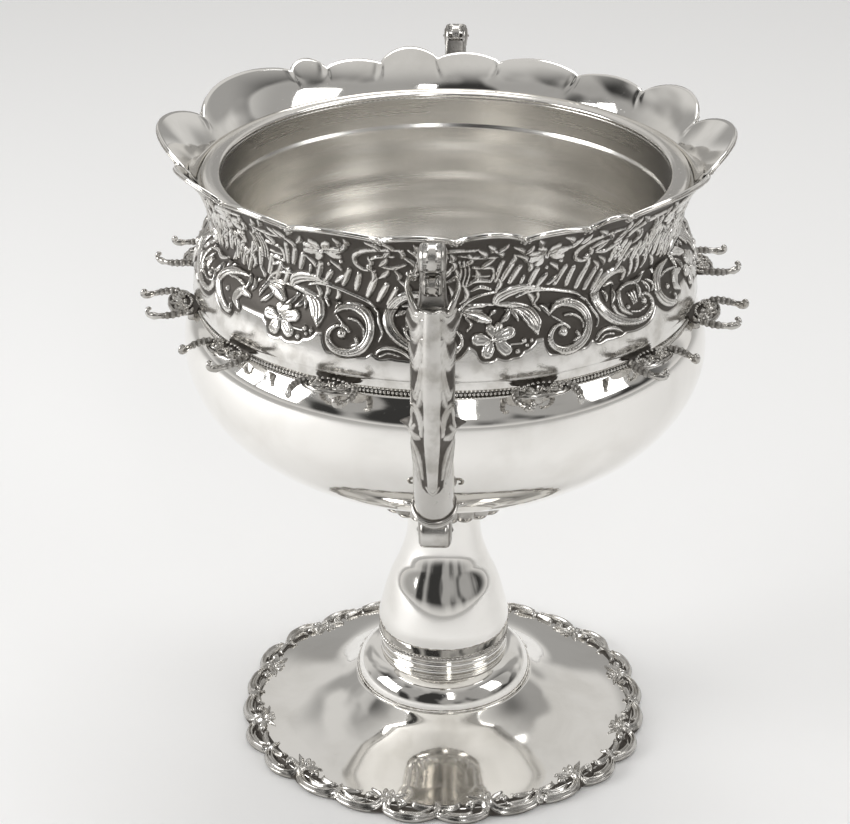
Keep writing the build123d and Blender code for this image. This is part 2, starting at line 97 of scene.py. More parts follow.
def piece_from(name, points, faces, body, nodes, material, recess=None):
    """Make a smooth mesh piece from arrays in millimetres, in the frame, link it and attach it to its body."""
    mesh = bpy.data.meshes.new(name)
    mesh.vertices.add(len(points))
    mesh.vertices.foreach_set("co", (np.asarray(points, dtype=np.float64) * MM).astype(np.float32).ravel())
    faces = np.asarray(faces, dtype=np.int32)
    mesh.loops.add(faces.size)
    mesh.loops.foreach_set("vertex_index", faces.ravel())
    mesh.polygons.add(len(faces))
    mesh.polygons.foreach_set("loop_start", np.arange(len(faces), dtype=np.int32) * faces.shape[1])
    mesh.polygons.foreach_set("use_smooth", np.ones(len(faces), dtype=bool))
    mesh.update(calc_edges=True)
    mesh.validate()
    if recess is not None:
        mesh.attributes.new("recess", "FLOAT", "POINT").data.foreach_set("value", recess.astype(np.float32).ravel())
    mesh.materials.append(material)
    piece = bpy.data.objects.new(name, mesh)
    bpy.context.scene.collection.objects.link(piece)
    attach(piece, body)
    if nodes:
        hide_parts(*nodes)
    print(name, len(faces) * (faces.shape[1] - 2), "triangles")
    return piece


def smooth_line(points, count, closed=False):
    """A Catmull-Rom curve through points, read at even steps of its length."""
    p = np.asarray(points, dtype=float)
    ends = (p[-1:], p[:2]) if closed else (2 * p[:1] - p[1:2], 2 * p[-1:] - p[-2:-1])
    q = np.concatenate([ends[0], p, ends[1]])
    t = np.linspace(0, 1, 24, endpoint=False)[:, None, None]
    a, b, c, d = q[:-3], q[1:-2], q[2:-1], q[3:]
    fine = 0.5 * (2 * b + (c - a) * t + (2 * a - 5 * b + 4 * c - d) * t**2 + (3 * b - a - 3 * c + d) * t**3)
    fine = fine.transpose(1, 0, 2).reshape(-1, p.shape[1])
    fine = np.concatenate([fine, p[:1] if closed else p[-1:]])
    run = np.concatenate([[0], np.cumsum(np.linalg.norm(np.diff(fine, axis=0), axis=1))])
    at = np.linspace(0, run[-1], count)
    return np.stack([np.interp(at, run, fine[:, k]) for k in range(p.shape[1])], axis=1)


def chain(*lines):
    """Lines of a section laid end to end, with repeated joints kept once."""
    joined = [np.asarray(lines[0], dtype=float)]
    for line in lines[1:]:
        line = np.asarray(line, dtype=float)
        joined.append(line[1:] if np.allclose(line[0], joined[-1][-1], atol=1e-6) else line)
    return np.concatenate(joined)


def unit(vectors):
    """Rows of vectors, each divided by its length."""
    return vectors / np.linalg.norm(vectors, axis=1)[:, None]


def turned(profile, count=360, wave=None):
    """Points of a closed section (radius, height) turned about Z; wave may move each point outwards."""
    profile = np.asarray(profile, dtype=float)
    angle = np.linspace(0, 2 * pi, count, endpoint=False)
    radius = np.repeat(profile[:, :1], count, axis=1)
    height = np.repeat(profile[:, 1:], count, axis=1)
    if wave is not None:
        radius, height = wave(radius, height, angle[None, :])
    return on_ring(radius, height, angle).reshape(-1, 3)


def on_ring(radius, level, turn):
    """Points at a radius and a level, turned from the front by an angle in radians."""
    return np.stack([radius * np.sin(turn), -radius * np.cos(turn), level], axis=-1)


def turned_piece(name, profile, body, nodes, material, count=360, wave=None, recess=None):
    """A spun piece: a closed section, drawn anticlockwise from below, carried once round."""
    points = turned(profile, count, wave)
    faces = grid_faces(len(profile), count, wrap_rows=True, wrap_columns=True)
    faces = faces[:, ::-1]
    if recess is not None:
        recess = np.repeat(np.asarray(recess, dtype=float)[:, None], count, axis=1)
    return piece_from(name, points, faces, body, nodes, material, recess)


def wall_section(outer, thickness):
    """A closed section: the outer line, then the same line set in by the wall, walked back."""
    outer = np.asarray(outer, dtype=float)
    along = unit(np.gradient(outer, axis=0))
    inner = outer + thickness * np.stack([-along[:, 1], along[:, 0]], axis=1)
    inner[:, 0] = np.maximum(inner[:, 0], 0.02)
    return np.concatenate([outer, inner[::-1]])


print("helpers ready")

# %% [markdown]
# ## Finishes
# The shader maths is written as expressions. A value wraps a node's output, and the usual operators
# add Math nodes between values.


# %% A small language for shaders
class Value:
    """One shader socket that can be used in arithmetic."""

    def __init__(self, tree, socket):
        self.tree, self.socket = tree, socket

    def maths(self, operation, *others):
        return self.tree.node("ShaderNodeMath", {"operation": operation}, [self, *others])

    def __add__(self, other): return self.maths("ADD", other)
    def __radd__(self, other): return self.tree.number("ADD", other, self)
    def __sub__(self, other): return self.maths("SUBTRACT", other)
    def __rsub__(self, other): return self.tree.number("SUBTRACT", other, self)
    def __mul__(self, other): return self.maths("MULTIPLY", other)

    def between(self, low, high):
        """0 below low, 1 above high and a smooth rise between them."""
        return self.tree.node("ShaderNodeMapRange", {"interpolation_type": "SMOOTHSTEP"},
                              {"Value": self, "From Min": low, "From Max": high})


class Finish:
    """The node tree of a material or of the world, with one method that makes any node."""

    def __init__(self, owner):
        owner.use_nodes = True
        self.owner, self.nodes, self.links = owner, owner.node_tree.nodes, owner.node_tree.links

    def node(self, kind, settings=None, inputs=(), output=0):
        made = self.nodes.new(kind)
        for key, setting in (settings or {}).items():
            setattr(made, key, setting)
        for key, value in (inputs.items() if isinstance(inputs, dict) else enumerate(inputs)):
            self.join(made.inputs[key], value)
        return Value(self, made.outputs[output])

    def number(self, operation, first, second):
        return self.node("ShaderNodeMath", {"operation": operation}, [first, second])

    def join(self, socket, value):
        if isinstance(value, Value):
            self.links.new(value.socket, socket)
        else:
            socket.default_value = value

    def place(self):
        return self.node("ShaderNodeTexCoord", output="Object")

    def stored(self, name):
        return self.node("ShaderNodeAttribute", {"attribute_name": name}, output="Fac")

    def noise(self, place, scale, detail=3.0, roughness=0.5, distortion=0.0):
        return self.node("ShaderNodeTexNoise", {}, {"Vector": place, "Scale": scale, "Detail": detail,
                                                    "Roughness": roughness, "Distortion": distortion})

    def stretched(self, place, scale):
        return self.node("ShaderNodeVectorMath", {"operation": "MULTIPLY"}, [place, scale])

    def by_section(self, place):
        """Radius and height of a place, so that a texture read there runs in rings."""
        radius = self.node("ShaderNodeVectorMath", {"operation": "LENGTH"}, [self.stretched(place, (1.0, 1.0, 0.0))],
                           output=1)
        height = self.node("ShaderNodeSeparateXYZ", {}, [place], output=2)
        return self.node("ShaderNodeCombineXYZ", {}, [radius, height, 0.0])

    def mixed(self, amount, first, second):
        """Blend two colours by an amount."""
        return self.node("ShaderNodeMix", {"data_type": "RGBA"}, {0: amount, 6: first, 7: second}, output=2)

    def relief(self, height, strength, distance):
        return self.node("ShaderNodeBump", {}, {"Strength": strength, "Distance": distance, "Height": height})

    def wear(self, **sockets):
        for name, value in sockets.items():
            self.join(self.nodes["Principled BSDF"].inputs[name.replace("_", " ").title()], value)
        return self.owner


oxide = (0.06, 0.051, 0.042, 1)
print("finishes can be written")

# %% [markdown]
# Polished plate is never perfectly even: rubbing leaves faint cloudy patches and hair-fine marks,
# which show only where a highlight crosses them.


# %% Polished silver
def polished(name, gloss, marks, rubbed, dulled):
    """Mirror silver with cloudy wiping marks and hair-fine scratches."""
    f = Finish(bpy.data.materials.new(name))
    place = f.place()
    cloud = f.noise(place, 22.0, 4.0, 0.55, 0.4)
    hair = f.noise(f.stretched(place, (900.0, 900.0, 45.0)), 1.0, 2.0, 0.6)
    cross = f.noise(f.stretched(place, (60.0, 700.0, 800.0)), 1.0, 2.0, 0.6)
    smear = cloud.between(0.42, 0.75)
    scratch = hair.between(0.62, 0.72) * cross.between(0.5, 0.6)
    return f.wear(
        base_color=f.mixed(smear * 0.6, rubbed, dulled), metallic=1.0,
        roughness=gloss + smear * (0.07 * marks) + scratch * (0.16 * marks),
        normal=f.relief(cloud + scratch * 0.1, 0.05 * marks, 0.0006))


polished_silver = polished("polished_silver", 0.045, 1.0, (0.90, 0.885, 0.855, 1), (0.74, 0.72, 0.68, 1))
# The grip gets a darker copy of the polished silver: painted shade that stands in for the dim room the grip reflects.
grip_silver_painted_dark = polished("grip_silver_painted_dark", 0.12, 1.8, (0.60, 0.585, 0.558, 1), (0.44, 0.42, 0.39, 1))
print(polished_silver.name, grip_silver_painted_dark.name)

# %% [markdown]
# Chased and cast work keeps dark oxide in its recesses while the high points are rubbed bright. The
# surfaces store how deep each point lies, so the same finish serves every ornament.


# %% Silver with oxide in the recesses
def oxidised(name, start, stop, gloss, rubbed, dulled):
    """Rubbed high points running down through a duller tone into dark recesses."""
    f = Finish(bpy.data.materials.new(name))
    place = f.place()
    grain = f.noise(place, 900.0, 3.0, 0.6)
    cloud = f.noise(place, 90.0, 3.0, 0.55)
    depth = f.stored("recess") + (cloud - 0.5) * 0.35
    dark = depth.between(start, stop)
    tone = f.mixed(cloud.between(0.4, 0.7) * 0.7 + depth.between(-0.05, start) * 0.3, rubbed, dulled)
    return f.wear(
        base_color=f.mixed(dark * 0.97, tone, oxide), metallic=1.0 - dark * 0.55,
        roughness=gloss + dark * 0.30 + grain * 0.06, normal=f.relief(grain, 0.12, 0.0004))


chased_silver = oxidised("chased_silver", 0.25, 0.85, 0.12, (0.80, 0.785, 0.757, 1), (0.55, 0.53, 0.495, 1))
cast_silver = oxidised("cast_silver", 0.2, 0.8, 0.17, (0.62, 0.605, 0.578, 1), (0.40, 0.382, 0.352, 1))
print(chased_silver.name, cast_silver.name)

# %% [markdown]
# The liner was pressed over a turning form: fine rings run round it, and years of punch have left it
# duller and a little yellow.


# %% Spun liner silver
def spun(name):
    """Silver with concentric turning lines, from noise read at a point's radius and height only."""
    f = Finish(bpy.data.materials.new(name))
    place = f.place()
    section = f.by_section(place)
    rings = f.noise(section, 420.0, 3.0, 0.65)
    bands = f.noise(section, 60.0, 2.0, 0.5)
    stain = f.noise(section, 26.0, 3.0, 0.5)
    cloud = f.noise(place, 9.0, 2.0, 0.5)
    worn = (stain * 0.7 + cloud * 0.3).between(0.38, 0.66)
    return f.wear(
        base_color=f.mixed(worn, (0.80, 0.785, 0.755, 1), (0.62, 0.602, 0.568, 1)),
        metallic=1.0,
        roughness=0.17 + rings * 0.10 + worn * 0.07,
        normal=f.relief(rings * 0.35 + bands * 0.8, 0.22, 0.0006))


liner_silver = spun("liner_silver")
print(liner_silver.name)

# %% [markdown]
# ## The foot
# The foot plate is a sheet spun to an ogee. It could be a few circles and a subdivision surface, but a
# section carried round gives an even mirror with no pinching, which polished metal needs.

# %% Foot plate and dome
plate_line = chain(
    smooth_line([(plate_radius, 5.5), (plate_radius - 3, 5.7), (plate_radius - 18, 8.5),
                 (plate_radius - 38, 14.0), (dome_radius + 11.2, foot_rise - 7.6), (dome_radius, foot_rise)], 60),
    [(dome_radius - 5.8, foot_rise)])
plate_section = np.concatenate([plate_line[::-1], (plate_line - (0, wall))])


def panelled(radius, height, angle):
    """Six shallow panels pressed into the plate: a slow wave that fades towards the dome."""
    share = np.clip((radius - dome_radius - 6) / (plate_radius - dome_radius - 10), 0, 1)
    return radius, height + 0.45 * share**2 * (1 - share**6) * np.cos(6 * angle)


turned_piece("foot_plate_skin", plate_section[::-1], "bowl", ["foot_plate"], polished_silver, 360,
             panelled)

quarter = np.linspace(0, pi / 2, 30)
dome_line = np.stack([throat_radius + (dome_radius - throat_radius) * np.cos(quarter),
                      foot_rise + (dome_top - foot_rise) * np.sin(quarter)], axis=1)
dome_line = chain(dome_line, [(throat_radius - 5, dome_top)])
turned_piece("foot_dome_skin", wall_section(dome_line, wall), "bowl", ["foot_dome"],
             polished_silver, 360)

# %% [markdown]
# The mouldings under the stem are small tori and fillets turned in one piece, and the wire above
# them is milled: a row of slanted grooves cut by a toothed wheel.


# %% Mouldings and milled wire
def half_round(radius, low, high, bulge, count=14):
    """A bead of a moulding: a half-ellipse standing out from a radius between two levels."""
    a = np.linspace(-pi / 2, pi / 2, count)
    return np.stack([radius + bulge * np.cos(a), (low + high) / 2 + (high - low) / 2 * np.sin(a)], axis=1)


base = throat_radius
moulding_line = chain(half_round(base - 0.6, dome_top, dome_top + 3.2, 1.5),
                      [(base - 1.4, dome_top + 3.25), (base - 1.4, dome_top + 4.15)],
                      half_round(base - 0.9, dome_top + 4.2, dome_top + 7.8, 1.5),
                      [(base - 1.3, dome_top + 7.9), (base - 1.3, dome_top + 8.3)],
                      half_round(base - 0.4, dome_top + 8.4, moulding_top, 0.8))
moulding_section = chain(moulding_line, [(base - 5, moulding_top), (base - 5, dome_top)])
turned_piece("base_moulding_skin", moulding_section, "bowl", ["base_moulding"], polished_silver,
             300)

milled_teeth = 96


def milled(radius, height, angle):
    """Slanted teeth: the radius waves with the angle plus a share of the height."""
    outer = radius > base - 2
    phase = milled_teeth * (angle + 0.02 * (height - moulding_top))
    return radius + outer * 0.28 * np.cos(phase), height


milled_section = chain(half_round(base + 0.7, moulding_top, stem_foot, 0.9),
                       [(base - 5, stem_foot), (base - 5, moulding_top)])
turned_piece("milled_wire_skin", milled_section, "bowl", ["knurled_wire"], cast_silver, 960, milled,
             recess=np.where(milled_section[:, 0] > base - 2, 0.35, 0.6))

# %% [markdown]
# The stem is a hollow pear. One smooth line through seven stations gives its swell.

# %% Stem
stem_base, stem_thin = stem_swell - 0.7, 21.5
swell, rise = stem_base - stem_thin, stem_top - stem_foot
stations = ((1, 0), (1.04, 0.081), (0.983, 0.174), (0.69, 0.38), (0.293, 0.561), (0.046, 0.741), (0, 1))
stem_line = smooth_line([(stem_thin + swell * s, stem_foot + rise * t) for s, t in stations], 120)
turned_piece("stem_skin", wall_section(stem_line, wall), "bowl", ["stem"], polished_silver, 224)

# %% [markdown]
# ## The collar under the bowl
# Gadroons are a ring of long bulging lobes. The radius waves as the absolute value of a sine, which
# leaves a sharp groove between round lobes, and the wave fades at the top and bottom edges.

# %% Gadrooned collar
collar_line = smooth_line([(stem_thin - 1, stem_top + 0.3), (stem_thin + 2, stem_top), (collar_radius - 9, stem_top),
                           (collar_radius - 3.2, stem_top + 2.6), (collar_radius - 0.9, stem_top + 9),
                           (collar_radius - 0.2, stem_top + 15), (collar_radius - 0.9, bowl_foot - 3.2)], 44)
collar_line = chain(collar_line, half_round(collar_radius - 1.0, bowl_foot - 3.0, bowl_foot, 0.9, 10))
gadroons = 26


def gadrooned(radius, height, angle):
    """Lobes between sharp grooves, strongest half way up and gone at both ends."""
    share = np.clip((radius - stem_thin - 4) / 12, 0, 1) * np.clip((bowl_foot - 3.2 - height) / 4, 0, 1)
    lobe = np.abs(np.sin(gadroons * angle / 2)) ** 0.6
    return radius - 2.6 * share * (1 - lobe), height + 0.6 * share * (1 - lobe)


collar_section = wall_section(collar_line, wall)
turned_piece("collar_skin", collar_section, "bowl", ["stem_collar"], cast_silver, 416, gadrooned,
             recess=0.28 + 0.3 * (collar_section[:, 1] > bowl_foot - 3.3))

# %% [markdown]
# ## The bowl
# A plain raised bowl: a flat seat, a half-ellipse below the belly and a shoulder tucked in to the bead
# wire. Hand planishing leaves it a few hundredths of a millimetre out of true, which is what makes
# real reflections waver, so the section carries a slow wave round it.

# %% Bowl
below_belly = (belly_level - bowl_foot) / sqrt(1 - (seat_radius / belly_radius) ** 2)
seat_angle = asin((belly_level - bowl_foot) / below_belly)
a = np.linspace(-seat_angle, 0, 120)
under_line = np.stack([belly_radius * np.cos(a), belly_level + below_belly * np.sin(a)], axis=1)
tuck = belly_radius - shoulder_radius
shoulder_line = smooth_line([(belly_radius, belly_level), (belly_radius - tuck * 0.05, belly_level + 6.5),
                             (belly_radius - tuck * 0.2, belly_level + 13.8),
                             (belly_radius - tuck * 0.46, belly_level + 18.8),
                             (belly_radius - tuck * 0.82, belly_level + 22.6), (shoulder_radius, shoulder_level)], 40)
bowl_line = chain([(0.02, bowl_foot), (20, bowl_foot), (seat_radius - 1, bowl_foot)], under_line, shoulder_line)
even = np.concatenate([[0], np.cumsum(np.hypot(*np.diff(bowl_line, axis=0).T))])
bowl_line = np.stack([np.interp(np.linspace(0, even[-1], 112), even, bowl_line[:, k]) for k in (0, 1)], axis=1)
for _ in range(6):
    bowl_line[17:-1] = (bowl_line[16:-2] + 2 * bowl_line[17:-1] + bowl_line[18:]) / 4


def planished(radius, height, angle):
    """Slow waves of a few hundredths of a millimetre."""
    wave = np.sin(5 * angle + height / 13) + np.sin(11 * angle - height / 9) * 0.6 + np.sin(17 * angle + 1) * 0.4
    return radius + 0.035 * wave * np.clip(radius / 60, 0, 1), height


turned_piece("bowl_skin", wall_section(bowl_line, wall), "bowl", ["bowl_shell"], polished_silver,
             320, planished)

# %% [markdown]
# The bead wire is a row of some four hundred tiny pearls on a flat strip. Each pearl is a sphere of a
# few dozen faces, and one array holds them all.

# %% Bead wire
pearl_count, pearl_radius = 400, 1.05
rows, columns = 6, 8
polar, side = np.meshgrid(np.linspace(0, pi, rows), np.linspace(0, 2 * pi, columns, endpoint=False), indexing="ij")
ball = np.stack([np.sin(polar) * np.cos(side), np.sin(polar) * np.sin(side), np.cos(polar)], axis=-1).reshape(-1, 3)
ball_faces = grid_faces(rows, columns, wrap_columns=True)[:, ::-1]


def balls_piece(name, balls, nodes, recess):
    """One piece from an array of balls by their points."""
    faces = (ball_faces[None] + (np.arange(len(balls)) * len(ball))[:, None, None]).reshape(-1, 4)
    points = balls.reshape(-1, 3)
    piece_from(name, points, faces, "bowl", nodes, cast_silver, np.full(len(points), recess))


around = np.linspace(0, 2 * pi, pearl_count, endpoint=False)
centres = on_ring(shoulder_radius + 0.05, np.full(pearl_count, (shoulder_level + bead_top) / 2), around)
balls_piece("bead_wire_pearls", centres[:, None] + pearl_radius * ball, ["bead_wire"], 0.12)
strip_radius = shoulder_radius - 0.35
strip = [(shoulder_radius - wall, shoulder_level), (strip_radius, shoulder_level), (strip_radius, bead_top),
         (shoulder_radius - wall, bead_top)]
turned_piece("bead_wire_strip", strip, "bowl", [], cast_silver, 240, recess=[0.9] * 4)

# %% [markdown]
# ## The liner
# The loose liner has a rolled lip, a short upright wall, a stepped line and a deep round bowl. Ridges
# from the turning form are real geometry here: a few tenths of a millimetre, uneven in spacing.

# %% Liner
lip_inner = liner_outer - liner_wall
straight_foot, depth = lip_foot - 16.5, lip_foot - 16.5 - liner_bottom
liner_inner_line = smooth_line([(lip_inner, straight_foot), (lip_inner - 1.3, straight_foot - 4),
                                (lip_inner - 3.1, straight_foot - depth * 0.24),
                                (lip_inner - 11.4, straight_foot - depth * 0.50),
                                (lip_inner - 28.2, straight_foot - depth * 0.73),
                                (lip_inner - 55.2, straight_foot - depth * 0.885),
                                (lip_inner - 88, liner_bottom + liner_wall + 3.0),
                                (0.02, liner_bottom + liner_wall)], 140)
run = np.linspace(0, 1, len(liner_inner_line))
ridge = 0.16 * np.sin(run * 61) + 0.10 * np.sin(run * 103 + 1) + 0.07 * np.sin(run * 131 + 2)
ridge = ridge * np.clip(run * 12, 0, 1) * np.clip((1 - run) * 6, 0, 1)
along = unit(np.gradient(liner_inner_line, axis=0))
liner_inner_line = liner_inner_line + ridge[:, None] * np.stack([along[:, 1], -along[:, 0]], axis=1)
upright = smooth_line([(lip_inner, lip_foot + 0.4), (lip_inner + 0.1, lip_foot - 5),
                       (lip_inner + 0.05, straight_foot + 1.2), (lip_inner - 0.35, straight_foot + 0.4),
                       (lip_inner, straight_foot)], 16)
inside = chain(upright, liner_inner_line)
outside = wall_section(inside[::-1], -liner_wall)[len(inside):][::-1]
outside[:, 1] = np.maximum(outside[:, 1], liner_bottom)
outside = outside[np.unique(np.r_[0:len(outside):4, len(outside) - 1])]
turned_piece("liner_skin", np.concatenate([outside, inside]), "liner", ["liner"], liner_silver, 240)

lip_mid, lip_half = (lip_inner + lip_outer) / 2, (lip_outer - lip_inner) / 2
a = np.linspace(0, pi, 30)
lip_line = np.stack([lip_mid + lip_half * np.cos(a), lip_foot + 0.9 + (lip_top - lip_foot - 0.9) * np.sin(a) ** 0.8],
                    axis=1)
lip_section = chain([(lip_inner, lip_foot), (lip_outer - 0.6, lip_foot), (lip_outer, lip_foot + 0.45)], lip_line)
turned_piece("liner_lip_skin", lip_section, "liner", ["liner_lip"],
             polished("lip_silver", 0.12, 1.6, (0.84, 0.82, 0.785, 1), (0.66, 0.64, 0.60, 1)), 480)

# %% [markdown]
# ## The chased band
# The ornament was raised from behind and chased from the front in one sheet. It could be sculpted, but
# here it is drawn: every petal, leaf and scroll is a stroke with a path, a width and a height, pressed
# into a height sheet that is laid round the band's section. The sheet measures angle across, in
# degrees, and distance up the section, in millimetres.


# %% A height sheet and its strokes
class Sheet:
    """A ring-shaped sheet of heights. Columns run once round; rows run up the section."""

    def __init__(self, columns, ups, stretch):
        self.angles = np.linspace(0, 360, columns, endpoint=False)
        self.ups = ups
        self.stretch = stretch
        self.height = np.zeros((len(ups), columns))
        self.cover = np.zeros((len(ups), columns))
        self.turn = 0.0

    def draw(self, motif, turn):
        """Draw a motif turned round the ring."""
        self.turn = turn
        motif(self)
        self.turn = 0.0

    def stroke(self, path, widths, tall, shape="round", lines=2):
        """Raise one stroke. At each point q is the distance across the path over the local half-width,
        from -1 to 1, and the height is tall times a section in q: round, ribbed, cupped or veined."""
        path = np.asarray(path, dtype=float) + (self.turn, 0)
        path = smooth_line(path, 70) if len(path) > 2 else np.linspace(path[0], path[-1], 40)
        widths = np.atleast_1d(widths)
        half = np.interp(np.linspace(0, 1, len(path)), np.linspace(0, 1, len(widths)), widths)
        centre = (path[:, 0].min() + path[:, 0].max()) / 2
        reach = (path[:, 0].max() - path[:, 0].min()) / 2 + half.max() / self.stretch + 0.4
        offset = (self.angles - centre + 180) % 360 - 180
        columns = np.nonzero(np.abs(offset) < reach)[0]
        margin = half.max() + 0.6
        rows = np.nonzero((self.ups > path[:, 1].min() - margin) & (self.ups < path[:, 1].max() + margin))[0]
        if len(rows) == 0 or len(columns) == 0:
            return
        px, py = (path[:, 0] - centre) * self.stretch, path[:, 1]
        across, up = np.meshgrid(offset[columns] * self.stretch, self.ups[rows])
        dx, dy = across[..., None] - px, up[..., None] - py
        gap = dx**2 + dy**2
        near = gap.argmin(axis=-1)
        gap, dx, dy = (np.take_along_axis(each, near[..., None], -1)[..., 0] for each in (gap, dx, dy))
        side = np.sign(np.gradient(px)[near] * dy - np.gradient(py)[near] * dx)
        q = np.clip(side * np.sqrt(gap) / np.maximum(half[near], 0.05), -1, 1)
        t = near / (len(path) - 1)
        dome = np.sqrt(1 - q**2)
        if shape == "ribbed":
            dome = dome * (0.74 + 0.26 * np.cos(2 * pi * lines * q))
        elif shape == "cupped":
            dome = dome**0.6 * (0.50 + 0.50 * q**2)
        elif shape == "petal":
            dome = dome**0.6 * (0.42 + 0.40 * q**2 + 0.35 * t) * (0.90 + 0.10 * np.cos(9 * q))
        elif shape == "veined":
            veins = 0.78 + 0.22 * np.cos(2 * pi * (lines * 2.2 * t - 1.2 * np.abs(q)))
            dome = dome**0.7 * veins * (1 - 0.3 * np.exp(-(q * 7) ** 2))
        raised = tall * dome
        index = np.ix_(rows, columns)
        self.height[index] = np.maximum(self.height[index] * (1 - 0.55 * (raised > 0.05)), raised)
        self.cover[index] = np.maximum(self.cover[index], dome > 0.02)

    def bead(self, angle, up, radius, tall):
        """A dome: a very short round stroke."""
        self.stroke([(angle, up - 0.02), (angle, up + 0.02)], radius, tall)


def softened(field, passes):
    """Blur a ring sheet by repeated one-two-one averages, wrapping round the ring."""
    for _ in range(passes):
        field = (np.roll(field, 1, 1) + 2 * field + np.roll(field, -1, 1)) / 4
        padded = np.concatenate([field[:1], field, field[-1:]])
        field = (padded[:-2] + 2 * field + padded[2:]) / 4
    return field


def eased(value, low, high):
    """0 below low, 1 above high, a smooth rise between."""
    t = np.clip((value - low) / (high - low), 0, 1)
    return t * t * (3 - 2 * t)


def read_sheet(field, sheet, angles, ups):
    """Read a sheet anywhere by blending its four nearest samples."""
    column = (np.asarray(angles) % 360) / 360 * len(sheet.angles)
    row = np.clip((ups - sheet.ups[0]) / (sheet.ups[1] - sheet.ups[0]), 0, len(sheet.ups) - 1.001)
    c, r = np.floor(column).astype(int), np.floor(row).astype(int)
    cp, rp, count = column - c, row - r, len(sheet.angles)
    low = field[r, c % count] * (1 - cp) + field[r, (c + 1) % count] * cp
    high = field[r + 1, c % count] * (1 - cp) + field[r + 1, (c + 1) % count] * cp
    return low * (1 - rp) + high * rp


print("strokes ready")

# %% [markdown]
# Each motif is a short list of strokes. The lower frieze has five-petalled flowers with a long veined
# leaf, a round C-scroll that ends in a boss, and a larger open scroll with curling leaves inside.


# %% Motifs of the lower frieze
def flower(sheet):
    """Five notched petals round a bead, with a bud and a berry beside it."""
    for path in ([(11.3, 29.2), (8.9, 29.6)], [(12.4, 30.6), (11.6, 34.8)], [(12.5, 30.6), (13.6, 35.6)],
                 [(13.1, 29.9), (15.9, 32.2)], [(12.9, 28.0), (14.9, 23.4)], [(11.8, 27.8), (10.9, 22.6)]):
        narrow = 2.3 if 34 < path[1][1] < 36 else 3.2
        sheet.stroke(path, [1.1, narrow, narrow * 1.05], 1.9, "petal")
    sheet.bead(12.3, 29.0, 1.15, 2.2)
    sheet.stroke([(15.8, 25.9), (18.6, 25.8)], 0.45, 0.9)
    for angle, up, radius in ((19.0, 27.2, 1.5), (20.6, 26.8, 1.2), (19.5, 24.5, 1.1), (17.4, 21.9, 1.5)):
        sheet.bead(angle, up, radius, 1.4)


def long_leaf(sheet):
    """A petal on the left, a long veined leaf bending down, and a feathery tongue over it."""
    sheet.stroke([(4.2, 38), (5.4, 46.0), (8.5, 52.6), (13.4, 55.6)], [0.5, 0.9, 1.0, 0.8], 1.3)
    sheet.stroke([(4.6, 36), (6.4, 45.8), (11, 47.4)], [0.4, 0.8, 0.8], 1.2)
    sheet.stroke([(6.7, 43.6), (9.2, 42.2), (11.7, 38.9)], [2.2, 3.7, 1.9], 1.7)
    sheet.stroke([(6.5, 48.5), (12, 48.1), (17, 46.3), (20.2, 41.8), (21.6, 36.3), (22.1, 29.4)],
                 [0.4, 1.0, 2.6, 5.0, 4.4, 0.5], 1.9, "ribbed", 2.5)
    sheet.stroke([(16.6, 44.2), (17.6, 41), (18.1, 37.6)], [0.8, 1.2, 0.4], 1.6)
    sheet.stroke([(22.4, 45.5), (23.6, 41.6)], [1.3, 0.5], 1.5)
    sheet.stroke([(13.2, 48.6), (14.0, 52), (16.5, 55), (20, 56.3), (24, 54.4)], [1.8, 3.5, 3.3, 2.1, 0.8], 1.9,
                 "ribbed", 1.5)
    sheet.stroke([(18, 51.2), (21, 53.7), (25, 53.2), (29, 50.8), (33, 47.4), (35.2, 42.6)],
                 [0.6, 1.1, 1.0, 0.9, 0.9, 0.8], 1.4)


def round_scroll(sheet):
    """A C-scroll that swells from a pointed leaf tip and winds into a boss."""
    sheet.stroke([(25.4, 38.6), (27.4, 42.8), (30, 43.7), (32.6, 41.0), (34.1, 36.0), (34.3, 29.5), (33.0, 23.2),
                  (30.5, 19.4), (27.6, 19.0), (25.4, 22.2), (24.9, 27.4), (26.2, 31.6), (28.3, 32.6), (29.6, 30.2)],
                 [0.4, 2.0, 3.0, 3.0, 2.7, 2.6, 2.7, 2.8, 2.6, 2.2, 1.8, 1.5, 1.1, 0.8], 2.2, "ribbed", 1.5)
    sheet.bead(28.0, 28.4, 2.7, 2.3)
    sheet.stroke([(31.3, 27.0), (31.6, 24.7), (30.4, 22.9)], [1.0, 0.9, 0.5], 1.8)
    sheet.stroke([(29.1, 37.0), (31.2, 36.2), (32.8, 32.5), (33.0, 28.5)], [0.7, 0.7, 0.5, 0.3], 1.6)
    sheet.stroke([(26.0, 37.6), (27.4, 34.9), (28.8, 32.4)], 0.45, 1.2)
    sheet.stroke([(35.4, 43), (36.0, 37), (37.0, 31.5), (36.4, 27.0)], [0.5, 0.8, 0.8, 0.4], 1.4)
    sheet.stroke([(35.9, 20.4), (37, 23.2), (39, 24.3), (41.5, 22.8), (43.3, 19.6)], [0.5, 1.1, 1.3, 1.1, 0.5], 1.5)
    sheet.stroke([(36.7, 19.2), (38.6, 21.4), (41.0, 20.3)], 0.45, 1.0)


